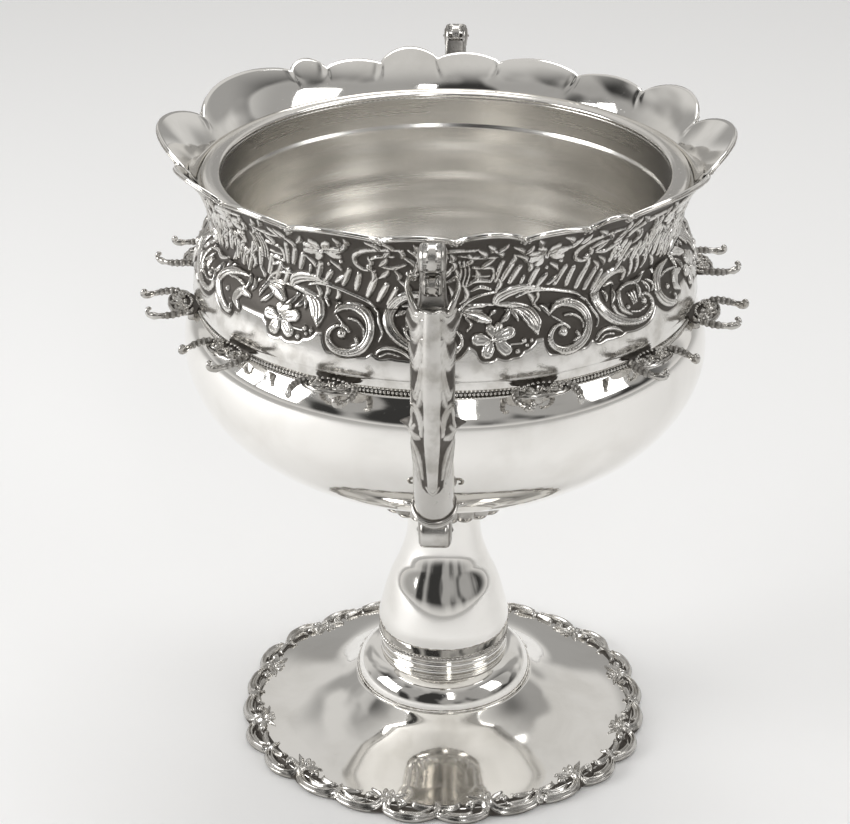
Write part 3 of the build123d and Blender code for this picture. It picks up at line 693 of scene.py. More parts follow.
def open_scroll(sheet):
    """A large open scroll of ribbed leaf, with curling leaves and small bosses inside."""
    sheet.stroke([(46.8, 47.2), (47.2, 51.8), (44.3, 54.2), (41, 52.0), (38.7, 46.5), (37.9, 40), (39.0, 33.5),
                  (41.4, 28), (44.8, 24), (48.5, 22), (52, 23), (53.9, 27), (53.9, 31.5), (52.4, 34.6), (50.7, 34.0)],
                 [0.9, 2.0, 2.8, 3.1, 3.2, 3.2, 3.2, 3.1, 2.9, 2.5, 2.1, 1.7, 1.4, 1.1, 0.6], 2.3, "ribbed", 2.5)
    sheet.bead(51.3, 31.4, 1.9, 2.1)
    sheet.bead(46.0, 31.6, 1.4, 1.7)
    sheet.stroke([(44.9, 40.6), (44.0, 36), (44.5, 31), (46.8, 26.9)], [1.4, 2.0, 1.6, 0.4], 1.9, "ribbed", 1.5)
    sheet.stroke([(41.7, 35), (42.6, 30.6), (45.0, 26.8)], [0.9, 0.9, 0.4], 1.6)
    sheet.stroke([(41.0, 47), (43.2, 47.8), (44.0, 45.5)], [0.6, 0.9, 0.5], 1.5)
    sheet.stroke([(46.8, 28.6), (49.4, 27.0), (52.2, 28.2)], 0.5, 1.2)
    for angle in (47.3, 48.3, 49.3):
        sheet.stroke([(angle, 38.4), (angle + 0.5 * (48.6 - angle), 32.2)], 0.5, 1.3)
    sheet.stroke([(45.2, 41.6), (48.5, 43.4), (52, 42.4), (55.6, 45.4)], [0.7, 1.4, 1.4, 0.7], 1.7, "ribbed", 1.5)
    sheet.stroke([(55.0, 41.0), (56.2, 37.5), (55.2, 34.0)], [0.4, 1.0, 0.4], 1.4)


def leaf_scroll(sheet):
    """A crescent leaf followed by a lobed one, which links two groups."""
    sheet.stroke([(67, 43.0), (62, 42.0), (58.4, 38.4), (56.9, 32), (58.6, 25.8), (61.5, 21.6), (63.7, 20.8),
                  (64.0, 24.6)], [0.6, 2.2, 3.0, 3.1, 3.2, 2.9, 2.0, 0.9], 2.2, "ribbed", 1.5)
    sheet.stroke([(60.2, 37.6), (63.5, 38.6), (68, 36.6)], [0.4, 0.9, 0.5], 1.5)
    sheet.stroke([(69.8, 33.6), (66.6, 33.8), (65.2, 29), (67.0, 24.6)], [1.0, 2.9, 2.7, 0.9], 1.9, "cupped")
    sheet.bead(61.4, 31.2, 1.5, 1.7)


groups = (-48.5, 0.0, 64.0)
links = (0.0, 63.5)


def draw_lower(sheet):
    """Lay the motifs round the ring; the two halves of the ring are alike."""
    for half_turn in (0, 180):
        for group in groups:
            for motif in (long_leaf, flower, round_scroll, open_scroll):
                sheet.draw(motif, group + half_turn)
        for link in links:
            sheet.draw(leaf_scroll, link + half_turn)


print("lower frieze has", len(groups) * 2, "groups")

# %% [markdown]
# Above the neck the flare carries a row of slanted fingers, then ruffled flowers and scrolls that run
# out to the scalloped edge.


# %% Motifs of the flare
fingers = ((13.0, 62, 14.1, 75.5, 1.3), (14.5, 62.5, 16.3, 73.2, 1.5), (16.3, 60.6, 18.1, 70.4, 1.6),
           (18.9, 59.6, 19.4, 63.6, 0.9), (20.9, 58, 22.3, 67.0, 1.7), (23.0, 57, 24.6, 62.6, 1.5),
           (25.4, 56.6, 27.3, 60.4, 1.2), (27.2, 55.8, 29.2, 66, 1.5), (30.2, 54, 31.4, 64, 1.6),
           (32.9, 51, 35.0, 62.4, 1.7), (35.3, 48.8, 37.6, 59, 1.6), (37.5, 47.0, 39.7, 57.0, 1.3))


def finger_row(sheet):
    """Slanted fingers with round tops, each with a fine line down its middle."""
    for low_angle, low, high_angle, high, half in fingers:
        sheet.stroke([(low_angle, low), (high_angle, high)], [half * 0.9, half * 1.25, half * 1.25, half], 1.8,
                     "ribbed", 1.0)


def ruffled_flower(sheet):
    """Seven ribbed petals round a boss, with a leaf and berries below."""
    for angle, up in ((20.0, 79.5), (21.8, 83.5), (25.6, 84.2), (28.4, 80.2), (27.4, 74.6), (22.0, 70.9),
                      (19.4, 74.6)):
        root = (23.6 + 0.25 * (angle - 23.6), 76.6 + 0.25 * (up - 76.6))
        sheet.stroke([root, (angle, up)], [0.9, 2.2, 2.5, 1.6], 1.8, "petal")
    sheet.bead(23.6, 76.6, 1.5, 2.2)
    sheet.stroke([(25.2, 70.2), (26.6, 67.4), (27.4, 64.6)], [0.8, 1.7, 0.6], 1.6, "ribbed", 1.0)
    sheet.bead(24.4, 67.6, 1.2, 1.4)
    sheet.bead(27.6, 71.0, 1.3, 1.5)


def rim_scroll(sheet):
    """An open C winding into a boss under the edge, with a leaf and a rosette beside it."""
    sheet.stroke([(42, 85.5), (38, 85.0), (34, 82.6), (31.4, 77.5), (31.0, 71.8), (32.6, 67.9), (35.2, 67.8)],
                 [0.5, 1.3, 1.7, 1.8, 1.7, 1.4, 0.8], 1.9, "ribbed", 1.5)
    sheet.bead(34.0, 70.0, 1.8, 2.0)
    sheet.stroke([(40, 79.6), (36.5, 78.8), (34.2, 75.0)], [0.4, 1.1, 0.5], 1.5)
    sheet.stroke([(36.6, 71.4), (39.2, 70.6), (42.2, 74.0)], [0.7, 1.7, 0.6], 1.6, "veined", 1.5)
    for k in range(5):
        sheet.bead(43.4 + 1.0 * cos(radians(72 * k + 18)), 66.5 + 2.6 * sin(radians(72 * k + 18)), 1.5, 1.5)
    sheet.bead(43.4, 66.5, 0.9, 1.9)


def leaf_cluster(sheet):
    """Overlapping small leaves that climb from the open scroll to the edge."""
    for path, half in (([(49.2, 47.5), (49.8, 53.5), (48.8, 59.5)], 1.3), ([(51.4, 48), (52.2, 53), (51.2, 60)], 1.5),
                       ([(53.8, 49), (55.4, 54), (54.4, 61)], 1.5), ([(46.4, 58), (47.4, 63), (50.0, 66)], 1.5),
                       ([(50.6, 62), (53.0, 66), (52.6, 72)], 1.7), ([(55.4, 60), (57.6, 65), (57.0, 71)], 1.6),
                       ([(47.6, 69), (49.6, 73), (48.8, 79)], 1.7), ([(53.6, 73), (56.0, 77.5), (55.2, 83)], 1.8)):
        sheet.stroke(path, [0.5, half, half, 0.4], 1.6, "ribbed", 1.0)
    sheet.stroke([(44.6, 76), (46.0, 82), (51, 86.5), (57, 87.0)], [0.5, 1.2, 1.3, 0.5], 1.6)


def framed_shell(sheet):
    """A small fluted frame beside each handle group."""
    for angle in (5.2, 6.1, 7.0):
        sheet.stroke([(angle - 0.5, 60), (angle + 0.2, 68), (angle - 0.3, 77)], 0.55, 1.1)
    sheet.stroke([(7.8, 72.4), (10, 71.9), (12.0, 71.2), (12.4, 66), (11.9, 62)], 0.8, 1.4)
    sheet.stroke([(7.9, 66.2), (11.6, 65.8)], 0.5, 1.1)
    sheet.stroke([(7.7, 62.4), (9.8, 63.2), (12.0, 62.2)], [0.8, 1.5, 0.8], 1.4)
    sheet.stroke([(7.7, 56.8), (9.7, 59.0), (12.1, 57.0)], [0.6, 1.3, 0.6], 1.4)
    sheet.stroke([(4.6, 82), (8.6, 80.0), (13.0, 79.4)], [0.5, 1.4, 0.5], 1.4, "ribbed", 1.0)


def draw_flare(sheet):
    """Lay the flare's motifs round the ring, group by group, with fingers filling the links."""
    for half_turn in (0, 180):
        for link in links:
            for shift in (28.6, 41.0):
                sheet.draw(finger_row, link + shift + half_turn)
            sheet.draw(leaf_cluster, link + 14 + half_turn)
            sheet.draw(ruffled_flower, link + 40 + half_turn)
        for group in groups:
            for motif in (framed_shell, finger_row, leaf_cluster, ruffled_flower, rim_scroll):
                sheet.draw(motif, group + half_turn)


print("flare motifs ready")

# %% [markdown]
# The rim is cut to broad lobes between sharp creases. Half of it is listed, as creases and crowns at
# their angles, and the other half is the same turned round.

# %% Scalloped edge
creases = ((-73, 147.0), (-50, 148.5), (-31, 148.0), (-10.8, 149.5), (4, 150.5), (17.5, 149.5), (31, 150.5),
           (40, 152.0), (73.5, 147.5), (107, 147.0))
crowns = ((-62, 158.0), (-40, 151.8), (-21, 152.8), (-3, 153.8), (10.5, 157.0), (24, 153.0), (35.5, 157.0),
          (56, 158.0), (90, 160.5))
crease_angles = np.array([angle % 180 for angle, _ in creases[:-1]])


def rim_radius(angles):
    """Radius of the cut edge: in each lobe the crown less the fall of a half-sine, to the power 0.8."""
    inside = (np.asarray(angles) - creases[0][0]) % 180 + creases[0][0]
    radius = np.zeros_like(inside)
    for (a0, r0), (_, top), (a1, r1) in zip(creases, crowns, creases[1:]):
        here = (inside >= a0) & (inside <= a1)
        share = (inside[here] - a0) / (a1 - a0)
        chord = r0 + (r1 - r0) * share
        radius[here] = chord + (top - (r0 + r1) / 2) * np.sin(pi * share) ** 0.72
    return radius


t = np.linspace(0, 1, 400)[:, None]
flare_curve = (1 - t) ** 2 * np.array([neck_radius, neck_level]) + 2 * t * (1 - t) * np.array(
    [neck_radius + 1.6, neck_level + 36.0]) + t**2 * np.array([flare_radius, flare_top])
band_curve = smooth_line([(shoulder_radius, bead_top), (shoulder_radius + 1.4, bead_top + 4.5),
                          (shoulder_radius + 1.5, bead_top + 12), (shoulder_radius - 0.4, bead_top + 22.8),
                          (shoulder_radius - 3.9, bead_top + 33.6), (neck_radius, neck_level)], 300)
section = np.concatenate([band_curve, flare_curve[1:]])
section_run = np.concatenate([[0], np.cumsum(np.hypot(*np.diff(section, axis=0).T))])
neck_run = section_run[len(band_curve) - 1]
slope = unit(np.gradient(section, axis=0))
padded = np.pad(slope, ((12, 12), (0, 0)), mode="edge")
smooth_slope = np.stack([np.convolve(padded[:, k], np.ones(25) / 25, mode="valid") for k in (0, 1)], axis=1)


def laid(ups, heights, angles):
    """Points of the section at distances up it, pushed out by heights along the section's normal."""
    radius, level = (np.interp(ups, section_run, section[:, k]) for k in (0, 1))
    across, rise = (np.interp(ups, section_run, smooth_slope[:, k]) for k in (0, 1))
    radius, level = radius + heights * rise, level - heights * across
    return on_ring(radius, level, np.radians(angles))


def edge_run(angles):
    """Distance up the section at which the flare reaches the cut edge."""
    flare = section_run >= neck_run
    return np.interp(rim_radius(angles), section[flare, 0], section_run[flare])


print("neck at", round(neck_run, 1), "edge from", round(edge_run(np.arange(360.0)).min(), 1))

# %% [markdown]
# Both sheets are drawn, the ground between the ornament is sunk and marked for oxide, and the sheets
# are cut in two behind the handles, where the joins cannot be seen.


# %% Lower frieze
def marked(sheet, ground):
    """Oxide: full on bare ground, also in creases, where a point lies below its neighbours' average."""
    body = eased(sheet.height, 0.1, 1.15)
    crease = np.clip((softened(sheet.height, 5) - sheet.height) / 0.30, 0, 1)
    outline = np.clip(softened(sheet.cover, 4) * (1 - sheet.cover) * 3, 0, 1)
    return np.clip(ground * (1 - body) * 0.95 + crease * 0.75 * ground + outline * 0.8, 0, 1)


def fill_with_leaves(sheet, low, high, tries, seed):
    """Small curled leaves wherever the ground is bare; the places are drawn from a fixed seed."""
    rng = np.random.default_rng(seed)
    for angle, up, lean, bend in zip(rng.uniform(0, 180, tries), rng.uniform(low, high, tries),
                                     rng.uniform(-0.9, 0.9, tries), rng.uniform(0.5, 1.1, tries)):
        row = np.searchsorted(sheet.ups, up)
        column = int(angle / 360 * len(sheet.angles))
        if sheet.cover[max(row - 4, 0):row + 5, max(column - 7, 0):column + 8].mean() > 0.14:
            continue
        for around in (angle, angle + 180):
            path = [(around - lean * 1.4, up - 3.4), (around + bend * 0.6, up), (around + lean * 1.7, up + 3.6)]
            sheet.stroke(path, [0.5, 1.8, 1.6, 0.5], 1.5, "ribbed", 1.0)


def halves(name, points, recess, material, nodes):
    """Cut a ring of points into two half rings that share their end columns."""
    rows, columns = points.shape[:2]
    for side, start in (("left", columns // 2), ("right", 0)):
        index = (start + np.arange(columns // 2 + 1)) % columns
        faces = grid_faces(rows, len(index))
        piece_from(f"{name}_{side}", points[:, index].reshape(-1, 3), faces, "bowl", nodes if side == "left" else [],
                   material, recess[:, index])


lower = Sheet(2000, np.linspace(0, neck_run, 85), 2.461)
draw_lower(lower)
fill_with_leaves(lower, 36, 46, 500, 3)
near_ornament = eased(softened(lower.cover, 34), 0.05, 0.16)
ups = lower.ups[:, None]
ground = np.clip(np.maximum(near_ornament, eased(ups, 25.0, 28.0)), 0, 1) * eased(ups, 16.5, 18.5)
step = np.exp(-((ups - 6.2) / 0.7) ** 2) * 0.35 + np.exp(-((ups - 2.2) / 0.9) ** 2) * 0.3
relief = softened(lower.height, 1) - 0.55 * ground * (1 - eased(lower.height, 0, 0.6)) + step
fade = eased(ups, 0, 1.2)
points = laid(np.broadcast_to(ups, relief.shape), relief * fade, lower.angles[None, :])
halves("band_lower", points, marked(lower, ground), chased_silver, ["band_shell"])

# %% Flare
flare_rows = 92
upper = Sheet(1640, np.linspace(neck_run - 2, 106, 150), 2.55)
draw_flare(upper)
draw_lower(upper)
fill_with_leaves(upper, 48, 88, 1800, 5)
edge = edge_run(upper.angles)
share = np.linspace(0, 1, flare_rows)[:, None]
ups = neck_run + share * (edge - neck_run)[None, :]
to_edge = edge[None, :] - ups
sunk = softened(upper.height, 1) - 0.5 * (1 - eased(upper.height, 0, 0.6))
recess, relief = (read_sheet(field, upper, upper.angles + 0 * ups, ups) for field in (marked(upper, 1.0), sunk))
recess = recess * eased(to_edge, 2.0, 5.0)
relief = relief * eased(to_edge, 1.5, 5.0) * eased(ups, neck_run - 1, neck_run + 0.5)
points = laid(ups, relief, upper.angles[None, :])
points[-1] = laid(edge, np.zeros_like(edge), upper.angles)
halves("band_upper", points, recess, chased_silver, [])

# %% [markdown]
# Inside, the flare is smooth and bright: only the creases between the lobes show through, as narrow
# folds that die out a finger's width below the edge.

# %% Inside of the band
columns, rows = 1230, 46
angles = np.linspace(0, 360, columns, endpoint=False)
edge = edge_run(angles)
share = np.linspace(0, 1, rows)[:, None] ** 0.8
ups = share * edge[None, :]
fold = np.zeros_like(ups)
for crease in crease_angles:
    for half_turn in (0, 180):
        below = edge[None, :] - ups
        bend = crease + half_turn + 0.010 * below**2 * (1 if int(crease) % 2 else -1)
        apart = ((angles[None, :] - bend + 180) % 360 - 180) * 2.6
        crest, hollow = 0.9 * np.exp(-(apart / 1.1) ** 2), 0.7 * np.exp(-((apart - 2.4) / 1.6) ** 2)
        fold += (crest - hollow) * eased(15 - below, 0, 14) * 0.7
panel = 0.5 * np.sin(np.radians(angles) * 11)[None, :] * eased(ups, neck_run + 10, 100)
inner = laid(ups, -wall - 0.8 * fold * eased(edge[None, :] - ups, 0, 3) + panel * 0.35, angles[None, :])
lip = laid(edge, np.full(columns, -wall * 0.5), angles)
lip += 0.35 * (lip - laid(edge - 1.0, np.full(columns, -wall * 0.5), angles))
outer_edge = laid(edge, np.zeros(columns), angles)
points = np.concatenate([inner, lip[None], outer_edge[None]])
faces = grid_faces(len(points), columns, wrap_columns=True)[:, ::-1]
recess = np.clip(np.concatenate([fold * 0.35, np.zeros((2, columns))]), 0, 0.7)
piece_from("band_inside", points.reshape(-1, 3), faces, "bowl", [], polished_silver, recess)
seat_low, seat_high, seat_outer = span("liner_seat")
seat_inner = liner_outer + 1.5
seat_section = [(seat_inner, seat_low), (seat_outer - 2.4, seat_low), (seat_outer - 0.4, seat_high),
                (seat_inner, seat_high)]
turned_piece("liner_seat_ring", seat_section, "bowl", ["liner_seat"], polished_silver, 360)

# %% [markdown]
# The applied border follows the cut edge: a narrow roll with a second fine line under it, and a
# cluster of tiny petals at each crease.

# %% Rim border
section_angle = np.linspace(0, 2 * pi, 8, endpoint=False)
across = np.array([1.15 * np.cos(section_angle) - 0.9, 0.85 * np.sin(section_angle) + 0.55])
reach = laid(edge[None, :] + across[0][:, None], np.broadcast_to(across[1][:, None], (8, columns)), angles[None, :])
second = laid(edge[None, :] - 3.2 + 0.5 * np.cos(section_angle)[:, None], 0.15 + 0.45 * np.sin(section_angle)[:, None]
              + np.zeros((1, columns)), angles[None, :])
faces = grid_faces(8, columns, wrap_rows=True, wrap_columns=True)
points = np.concatenate([reach.reshape(-1, 3), second.reshape(-1, 3)])
faces = np.concatenate([faces, faces + reach.shape[0] * columns])
piece_from("rim_border_roll", points, faces, "bowl", ["rim_border"], cast_silver,
           np.full(len(points), 0.12))

petals = ((0, 0.2, 1.5), (-1.0, 0.9, 1.2), (1.0, 0.8, 1.25), (-1.7, 0.2, 0.9), (1.8, 0.1, 0.95), (0.1, 2.6, 1.1),
          (-0.8, 3.6, 0.8), (0.9, 3.4, 0.8))  # degrees sideways, distance down from the edge, radius
cluster = []
rng = np.random.default_rng(7)
for crease in np.concatenate([crease_angles, crease_angles + 180]):
    for sideways, down, radius in petals:
        angle = crease + sideways * (1 + 0.1 * rng.standard_normal())
        centre = laid(edge_run(np.array([angle])) - down, np.array([0.75]), np.array([angle]))[0]
        cluster.append(centre + ball * radius * (1, 1, 0.85))
balls_piece("rim_flowers", np.array(cluster), [], 0.25)

# %% [markdown]
# ## Cast work
# Hooks, handles and the foot border were cast in sand and soldered on. They are closed solids, so a
# few helpers gather closed grids into one piece and turn every face outwards.


# %% Helpers for cast pieces
def outward(points, faces):
    """Faces of a closed surface, turned so that the volume they enclose comes out positive."""
    a, b, c, d = (points[faces[:, k]] for k in range(4))
    return faces if np.einsum("ij,ij->i", a, np.cross(b, c) + np.cross(c, d)).sum() > 0 else faces[:, ::-1]


def closed(grid, recess=0.1):
    """A closed part from a grid whose rows wrap round and whose end rows are drawn to a point."""
    first, last = (np.repeat(end.mean(axis=1, keepdims=True), grid.shape[1], axis=1) for end in (grid[:1], grid[-1:]))
    grid = np.concatenate([first, grid, last])
    if np.ndim(recess) == 0:
        depth = np.full(grid.shape[:2], float(recess))
    else:
        depth = np.concatenate([recess[:1], recess, recess[-1:]])
    points = grid.reshape(-1, 3)
    return points, outward(points, grid_faces(*grid.shape[:2], wrap_columns=True)), depth.ravel()


def cast_piece(name, parts, nodes, material=cast_silver):
    """Gather closed parts, given as points, faces and recess, into one piece."""
    start = np.cumsum([0] + [len(points) for points, _, _ in parts])
    return piece_from(name, np.concatenate([p for p, _, _ in parts]),
                      np.concatenate([faces + at for (_, faces, _), at in zip(parts, start)]), "bowl", nodes,
                      material, np.concatenate([r for _, _, r in parts]))


def rod(path, across, along, reference, sides=20, squareness=1.0):
    """Rings round a path: centre + across * cos(a) on the reference side + along * sin(a) on the third axis."""
    path = np.asarray(path, dtype=float)
    across, along = np.broadcast_to(across, len(path)), np.broadcast_to(along, len(path))
    t = unit(np.gradient(path, axis=0))
    third = unit(np.cross(t, reference))
    side = np.cross(third, t)
    a = np.linspace(0, 2 * pi, sides, endpoint=False)
    c, s = (np.sign(w) * np.abs(w) ** squareness for w in (np.cos(a), np.sin(a)))
    sideways = (across[:, None] * c)[..., None] * side[:, None]
    return path[:, None] + sideways + (along[:, None] * s)[..., None] * third[:, None]


def roll(radius_out, level, radius, half_width, coils=2.2, sides=72, start=0.0):
    """A volute: a barrel about the X axis whose end faces carry a spiral step cut by radius and angle."""
    q = np.linspace(0.02, 1, 26)
    shoulder = np.sqrt(np.clip(1 - ((q - 0.60) / 0.40).clip(0, 1) ** 2, 0, 1))
    a = np.linspace(0, 2 * pi, sides, endpoint=False)
    phase = q[:, None] * coils - a / (2 * pi) + start
    groove = np.cos(2 * pi * phase) * np.sin(pi * np.clip(q * 1.15, 0, 1))[:, None]
    end = half_width - 2.6 * (1 - shoulder[:, None]) + 0.5 * groove - 0.6 + 1.3 * np.exp(-(q[:, None] / 0.16) ** 2)
    belly = np.ones(4)
    x = np.concatenate([-end, np.linspace(-0.6, 0.6, 4)[:, None] * half_width + 0 * a, end[::-1]])
    r = np.concatenate([q, belly, q[::-1]])[:, None] * radius
    grid = np.stack([x, -(radius_out + r * np.cos(a)), level + r * np.sin(a)], axis=-1)
    deep = np.clip(0.5 - 0.6 * groove, 0, 1) * (q[:, None] < 0.93)
    return closed(grid, np.concatenate([deep, np.zeros((4, sides)), deep[::-1]]))


def turned_about(parts, angle):
    """The same parts turned about Z."""
    c, s = cos(radians(angle)), sin(radians(angle))
    spin = np.array([[c, s, 0], [-s, c, 0], [0, 0, 1]])
    return [(points @ spin, faces, recess) for points, faces, recess in parts]


print("cast helpers ready")

# %% [markdown]
# Each cup hook is a flat scrolled medallion that carries two pincer arms with upturned ends. The
# medallion is a disc clipped by the bowl, with its scrolls pressed up as strokes on a flat sheet.


# %% One cup hook
def hook_sheet():
    """A flat sheet, 36 mm wide, for the medallion: ten units across count one millimetre."""
    sheet = Sheet(360, np.linspace(139, 161, 200), 0.1)

    def mark(path, widths, tall, shape="round", lines=1.0):
        for flip in (10, -10):
            sheet.stroke(np.asarray(path) * (flip, 1), widths, tall, shape, lines)

    a = np.linspace(0, 2.7 * pi, 26)
    coil = 4.3 - 3.0 * a / a[-1]
    mark(np.stack([7.2 - coil * np.cos(a), 151.2 + coil * np.sin(a)], axis=1), 0.95, 1.7)
    mark([(7.2, 151.15), (7.2, 151.25)], 1.5, 2.4)
    mark([(0.5, 156.8), (2.6, 154.6), (1.2, 152.4), (0.3, 150.2), (1.6, 148.2)], [0.8, 0.9, 0.9, 0.9, 0.5], 1.6)
    mark([(0, 157.6), (4, 157.9), (9, 157.3), (13.4, 155.0), (15.2, 151.2)], [1.0, 1.1, 1.2, 1.2, 1.0], 1.7,
         "ribbed", 1.5)
    mark([(15.4, 150.0), (13.8, 147.2), (10.6, 145.6)], [1.0, 1.2, 0.8], 1.5)
    mark([(10.4, 156.0), (12.0, 153.6), (12.4, 151.4)], [0.5, 0.8, 0.4], 1.2)
    return sheet


medallion = hook_sheet()
hook_level = span("cup_hook_01")[0]
hook_top, hook_underside = 287.2, 285.7
medallion_centre, bowl_clearance = 149.6, 141.7
first_hook, hook_step = 21.5, 27.4


def cup_hook():
    """The medallion, its beads, the lug below and two arms, at the front of the bowl."""
    a = np.linspace(0, 2 * pi, 84, endpoint=False)
    bulge = np.where(np.sin(a) > 0, 9.0, 8.8) * np.sign(np.sin(a)) * np.abs(np.sin(a)) ** 0.8
    share = np.linspace(0.01, 1, 23)[:, None]
    x, y = 15.8 * share * np.cos(a), medallion_centre + share * bulge
    y = np.maximum(y, np.sqrt(bowl_clearance**2 - x**2))
    tall = read_sheet(softened(medallion.height, 1), medallion, x * 10, y)
    top = hook_top - 0.3 + tall * (share < 0.995) - 0.7 * (share > 0.97)
    low = np.full_like(top, hook_underside)
    x, y = (np.concatenate([w, w[::-1]]) for w in (x, y))
    disc = np.stack([x, -y, np.concatenate([top, low[::-1]])], axis=-1)
    depth = np.concatenate([eased(1.1 - tall, 0, 0.9), np.full_like(low, 0.35)])
    parts = [closed(disc, depth)]
    for angle in np.linspace(-1.15, 1.15, 11):
        centre = np.array([13.2 * np.sin(angle), -(154.2 - 9.2 * np.cos(angle)), hook_top + 0.75])
        parts.append((centre + ball, ball_faces, np.full(len(ball), 0.15)))
    parts.append(closed(rod(np.linspace((0, -144.9, hook_level), (0, -144.9, 286), 6), 3.0, 3.0, (1, 0, 0), 16), 0.3))
    for side in (-1, 1):
        path = smooth_line([(side * 13.0, -149.0, 287.3), (side * 16.0, -153.5, 287.6), (side * 17.0, -159.5, 287.2),
                            (side * 15.9, -165.5, 286.8), (side * 14.0, -169.8, 286.9), (side * 13.2, -171.4, 288.4),
                            (side * 12.8, -170.4, 290.2), (side * 12.6, -168.8, 290.0)], 64)
        t = np.linspace(0, 1, 64)
        rope = (0.15 * np.cos(t * 2 * pi * 9)) * (t < 0.5)
        girth = np.interp(t, [0, 0.12, 0.4, 0.6, 0.7, 0.85, 0.94, 1],
                          [1.4, 2.2, 2.1, 1.6, 2.3, 1.5, 1.6, 0.6]) * (1 + rope)
        depth = np.repeat((0.30 * (t < 0.55) - 1.6 * np.minimum(rope, 0) + 0.12)[:, None], 10, axis=1)
        parts.append(closed(rod(path, girth, girth * 0.82, (0.3, 0, 1), 10), depth))
    return parts


one_hook = cup_hook()
one_side = [first_hook + hook_step * k for k in range(6)]
for number, angle in enumerate(one_side + [-angle for angle in one_side], 1):
    cast_piece(f"cup_hook_cast_{number:02d}", turned_about(one_hook, angle), [f"cup_hook_{number:02d}"])

# %% [markdown]
# The handle is a plain tube under an acanthus leaf. The leaf is a sleeve round the outer side of the
# tube: an unrolled sheet holds its spine, lobes and curls, and two long thorns stand out sideways.

# %% Leaf on the handle
grip_radius = 10.8
grip_line = smooth_line([(176, 349), (178, 320), (175, 286), (168, 259), (158.3, 237), (145.8, 217)], 140)
grip_run = np.concatenate([[0], np.cumsum(np.hypot(*np.diff(grip_line, axis=0).T))])
leaf_long = 106.0
leaf = Sheet(480, np.linspace(-2, leaf_long + 2, 300), radians(1) * (grip_radius + 1))
lobes = (  # path in degrees from the spine and millimetres down, half-widths, height, shape, ribs
    ([(22, 0), (40, 4), (66, 3), (92, -1)], [2.2, 3.4, 3.0, 0.9], 2.1, "ribbed", 1.5),
    ([(24, 6), (44, 13), (70, 14), (100, 8)], [2.4, 4.2, 3.8, 1.2], 2.3, "ribbed", 2.0),
    ([(27, 16), (42, 26), (62, 28), (92, 21)], [2.2, 4.0, 3.8, 1.4], 2.3, "ribbed", 2.0),
    ([(27, 28), (36, 39), (50, 45), (74, 44)], [1.8, 3.4, 3.2, 1.0], 2.1, "ribbed", 1.5),
    ([(30, 42), (38, 49), (48, 52)], [1.4, 2.2, 0.8], 1.7, "ribbed", 1.0),
    ([(90, 24), (98, 34), (98, 46), (86, 56)], [1.6, 2.2, 2.2, 1.4], 1.9, "round", 1),
    ([(30, 67), (36, 58), (52, 53), (70, 54), (80, 60), (70, 66), (56, 63)],
     [1.2, 2.6, 3.0, 2.8, 2.2, 1.7, 1.0], 2.4, "ribbed", 1.0),
    ([(40, 69), (62, 70), (86, 70), (106, 70)], [1.6, 2.8, 2.8, 1.2], 2.2, "ribbed", 1.5),
    ([(98, 74), (74, 80), (54, 89), (33, 101)], [1.8, 3.6, 3.8, 1.2], 2.3, "ribbed", 2.0),
    ([(70, 74), (48, 79), (34, 87), (27, 95)], [1.2, 2.6, 2.2, 0.8], 1.9, "ribbed", 1))
for path, widths, tall, shape, lines in lobes:
    for flip in (1, -1):
        leaf.stroke(np.asarray(path) * (flip, 1), widths, tall, shape, lines)
leaf.stroke([(0, 1), (0, 50), (0, 103.5)], [4.4, 5.3, 5.0, 4.4, 2.6], 3.6)
leaf.stroke([(-17, 100), (0, 104.5), (17, 100)], [0.6, 1.6, 0.6], 1.5)
rows, across = 190, 58
down = np.linspace(0, 1, rows)[:, None]
c = np.linspace(-1, 1, across)[None, :]
reach = np.interp(down, [0, 0.05, 0.16, 0.30, 0.42, 0.50, 0.56, 0.62, 0.68, 0.80, 0.92, 0.985, 1],
                  [80, 104, 112, 98, 104, 92, 98, 106, 104, 76, 46, 18, 4])
angle = c * reach
edge_soft = np.clip((1 - np.abs(c)) * reach / 7, 0, 1)
tall = read_sheet(softened(leaf.height, 1), leaf, angle, down * leaf_long + 0 * c)
under_leaf = grip_radius - 0.5 + 0.55 * eased(down, 0.75, 0.98)
stand = np.minimum(under_leaf + (0.15 + 0.52 * tall) * np.sqrt(edge_soft), grip_radius + 1.58)
flare_out = np.abs(c) ** 5 * (7.0 * np.exp(-((down - 0.63) / 0.028) ** 2) + 3.6 * np.exp(-((down - 0.07) / 0.07) ** 2)
                              + 2.2 * np.exp(-((down - 0.21) / 0.03) ** 2))
at = down[:, 0] * leaf_long
centre = np.stack([np.interp(at, grip_run, grip_line[:, k]) for k in (0, 1)], axis=1)
way = np.gradient(grip_line, axis=0)
way = unit(np.stack([np.interp(at, grip_run, way[:, k]) for k in (0, 1)], axis=1))
out_r, out_z = -way[:, 1:], way[:, :1]


def round_grip(radius, angle, sideways):
    """Points round the grip: centre + radius * (cos outwards + sin sideways), then pushed sideways."""
    a = np.radians(angle)
    r = centre[:, :1] + radius * np.cos(a) * out_r
    z = centre[:, 1:] + radius * np.cos(a) * out_z
    return np.stack([radius * np.sin(a) + sideways * np.sign(angle), -r, z], axis=-1)


outer_side = round_grip(stand, angle, flare_out)
inner_side = round_grip(0 * stand + under_leaf - 0.5, angle, flare_out * 0.9)
leaf_grid = np.concatenate([outer_side, inner_side[:, ::-1]], axis=1)
leaf_depth = np.concatenate([eased(1.7 - tall, 0, 1.7) * 0.74, np.full_like(tall, 0.4)], axis=1)
leaf_part = closed(leaf_grid, leaf_depth)
print("leaf", leaf_grid.shape)

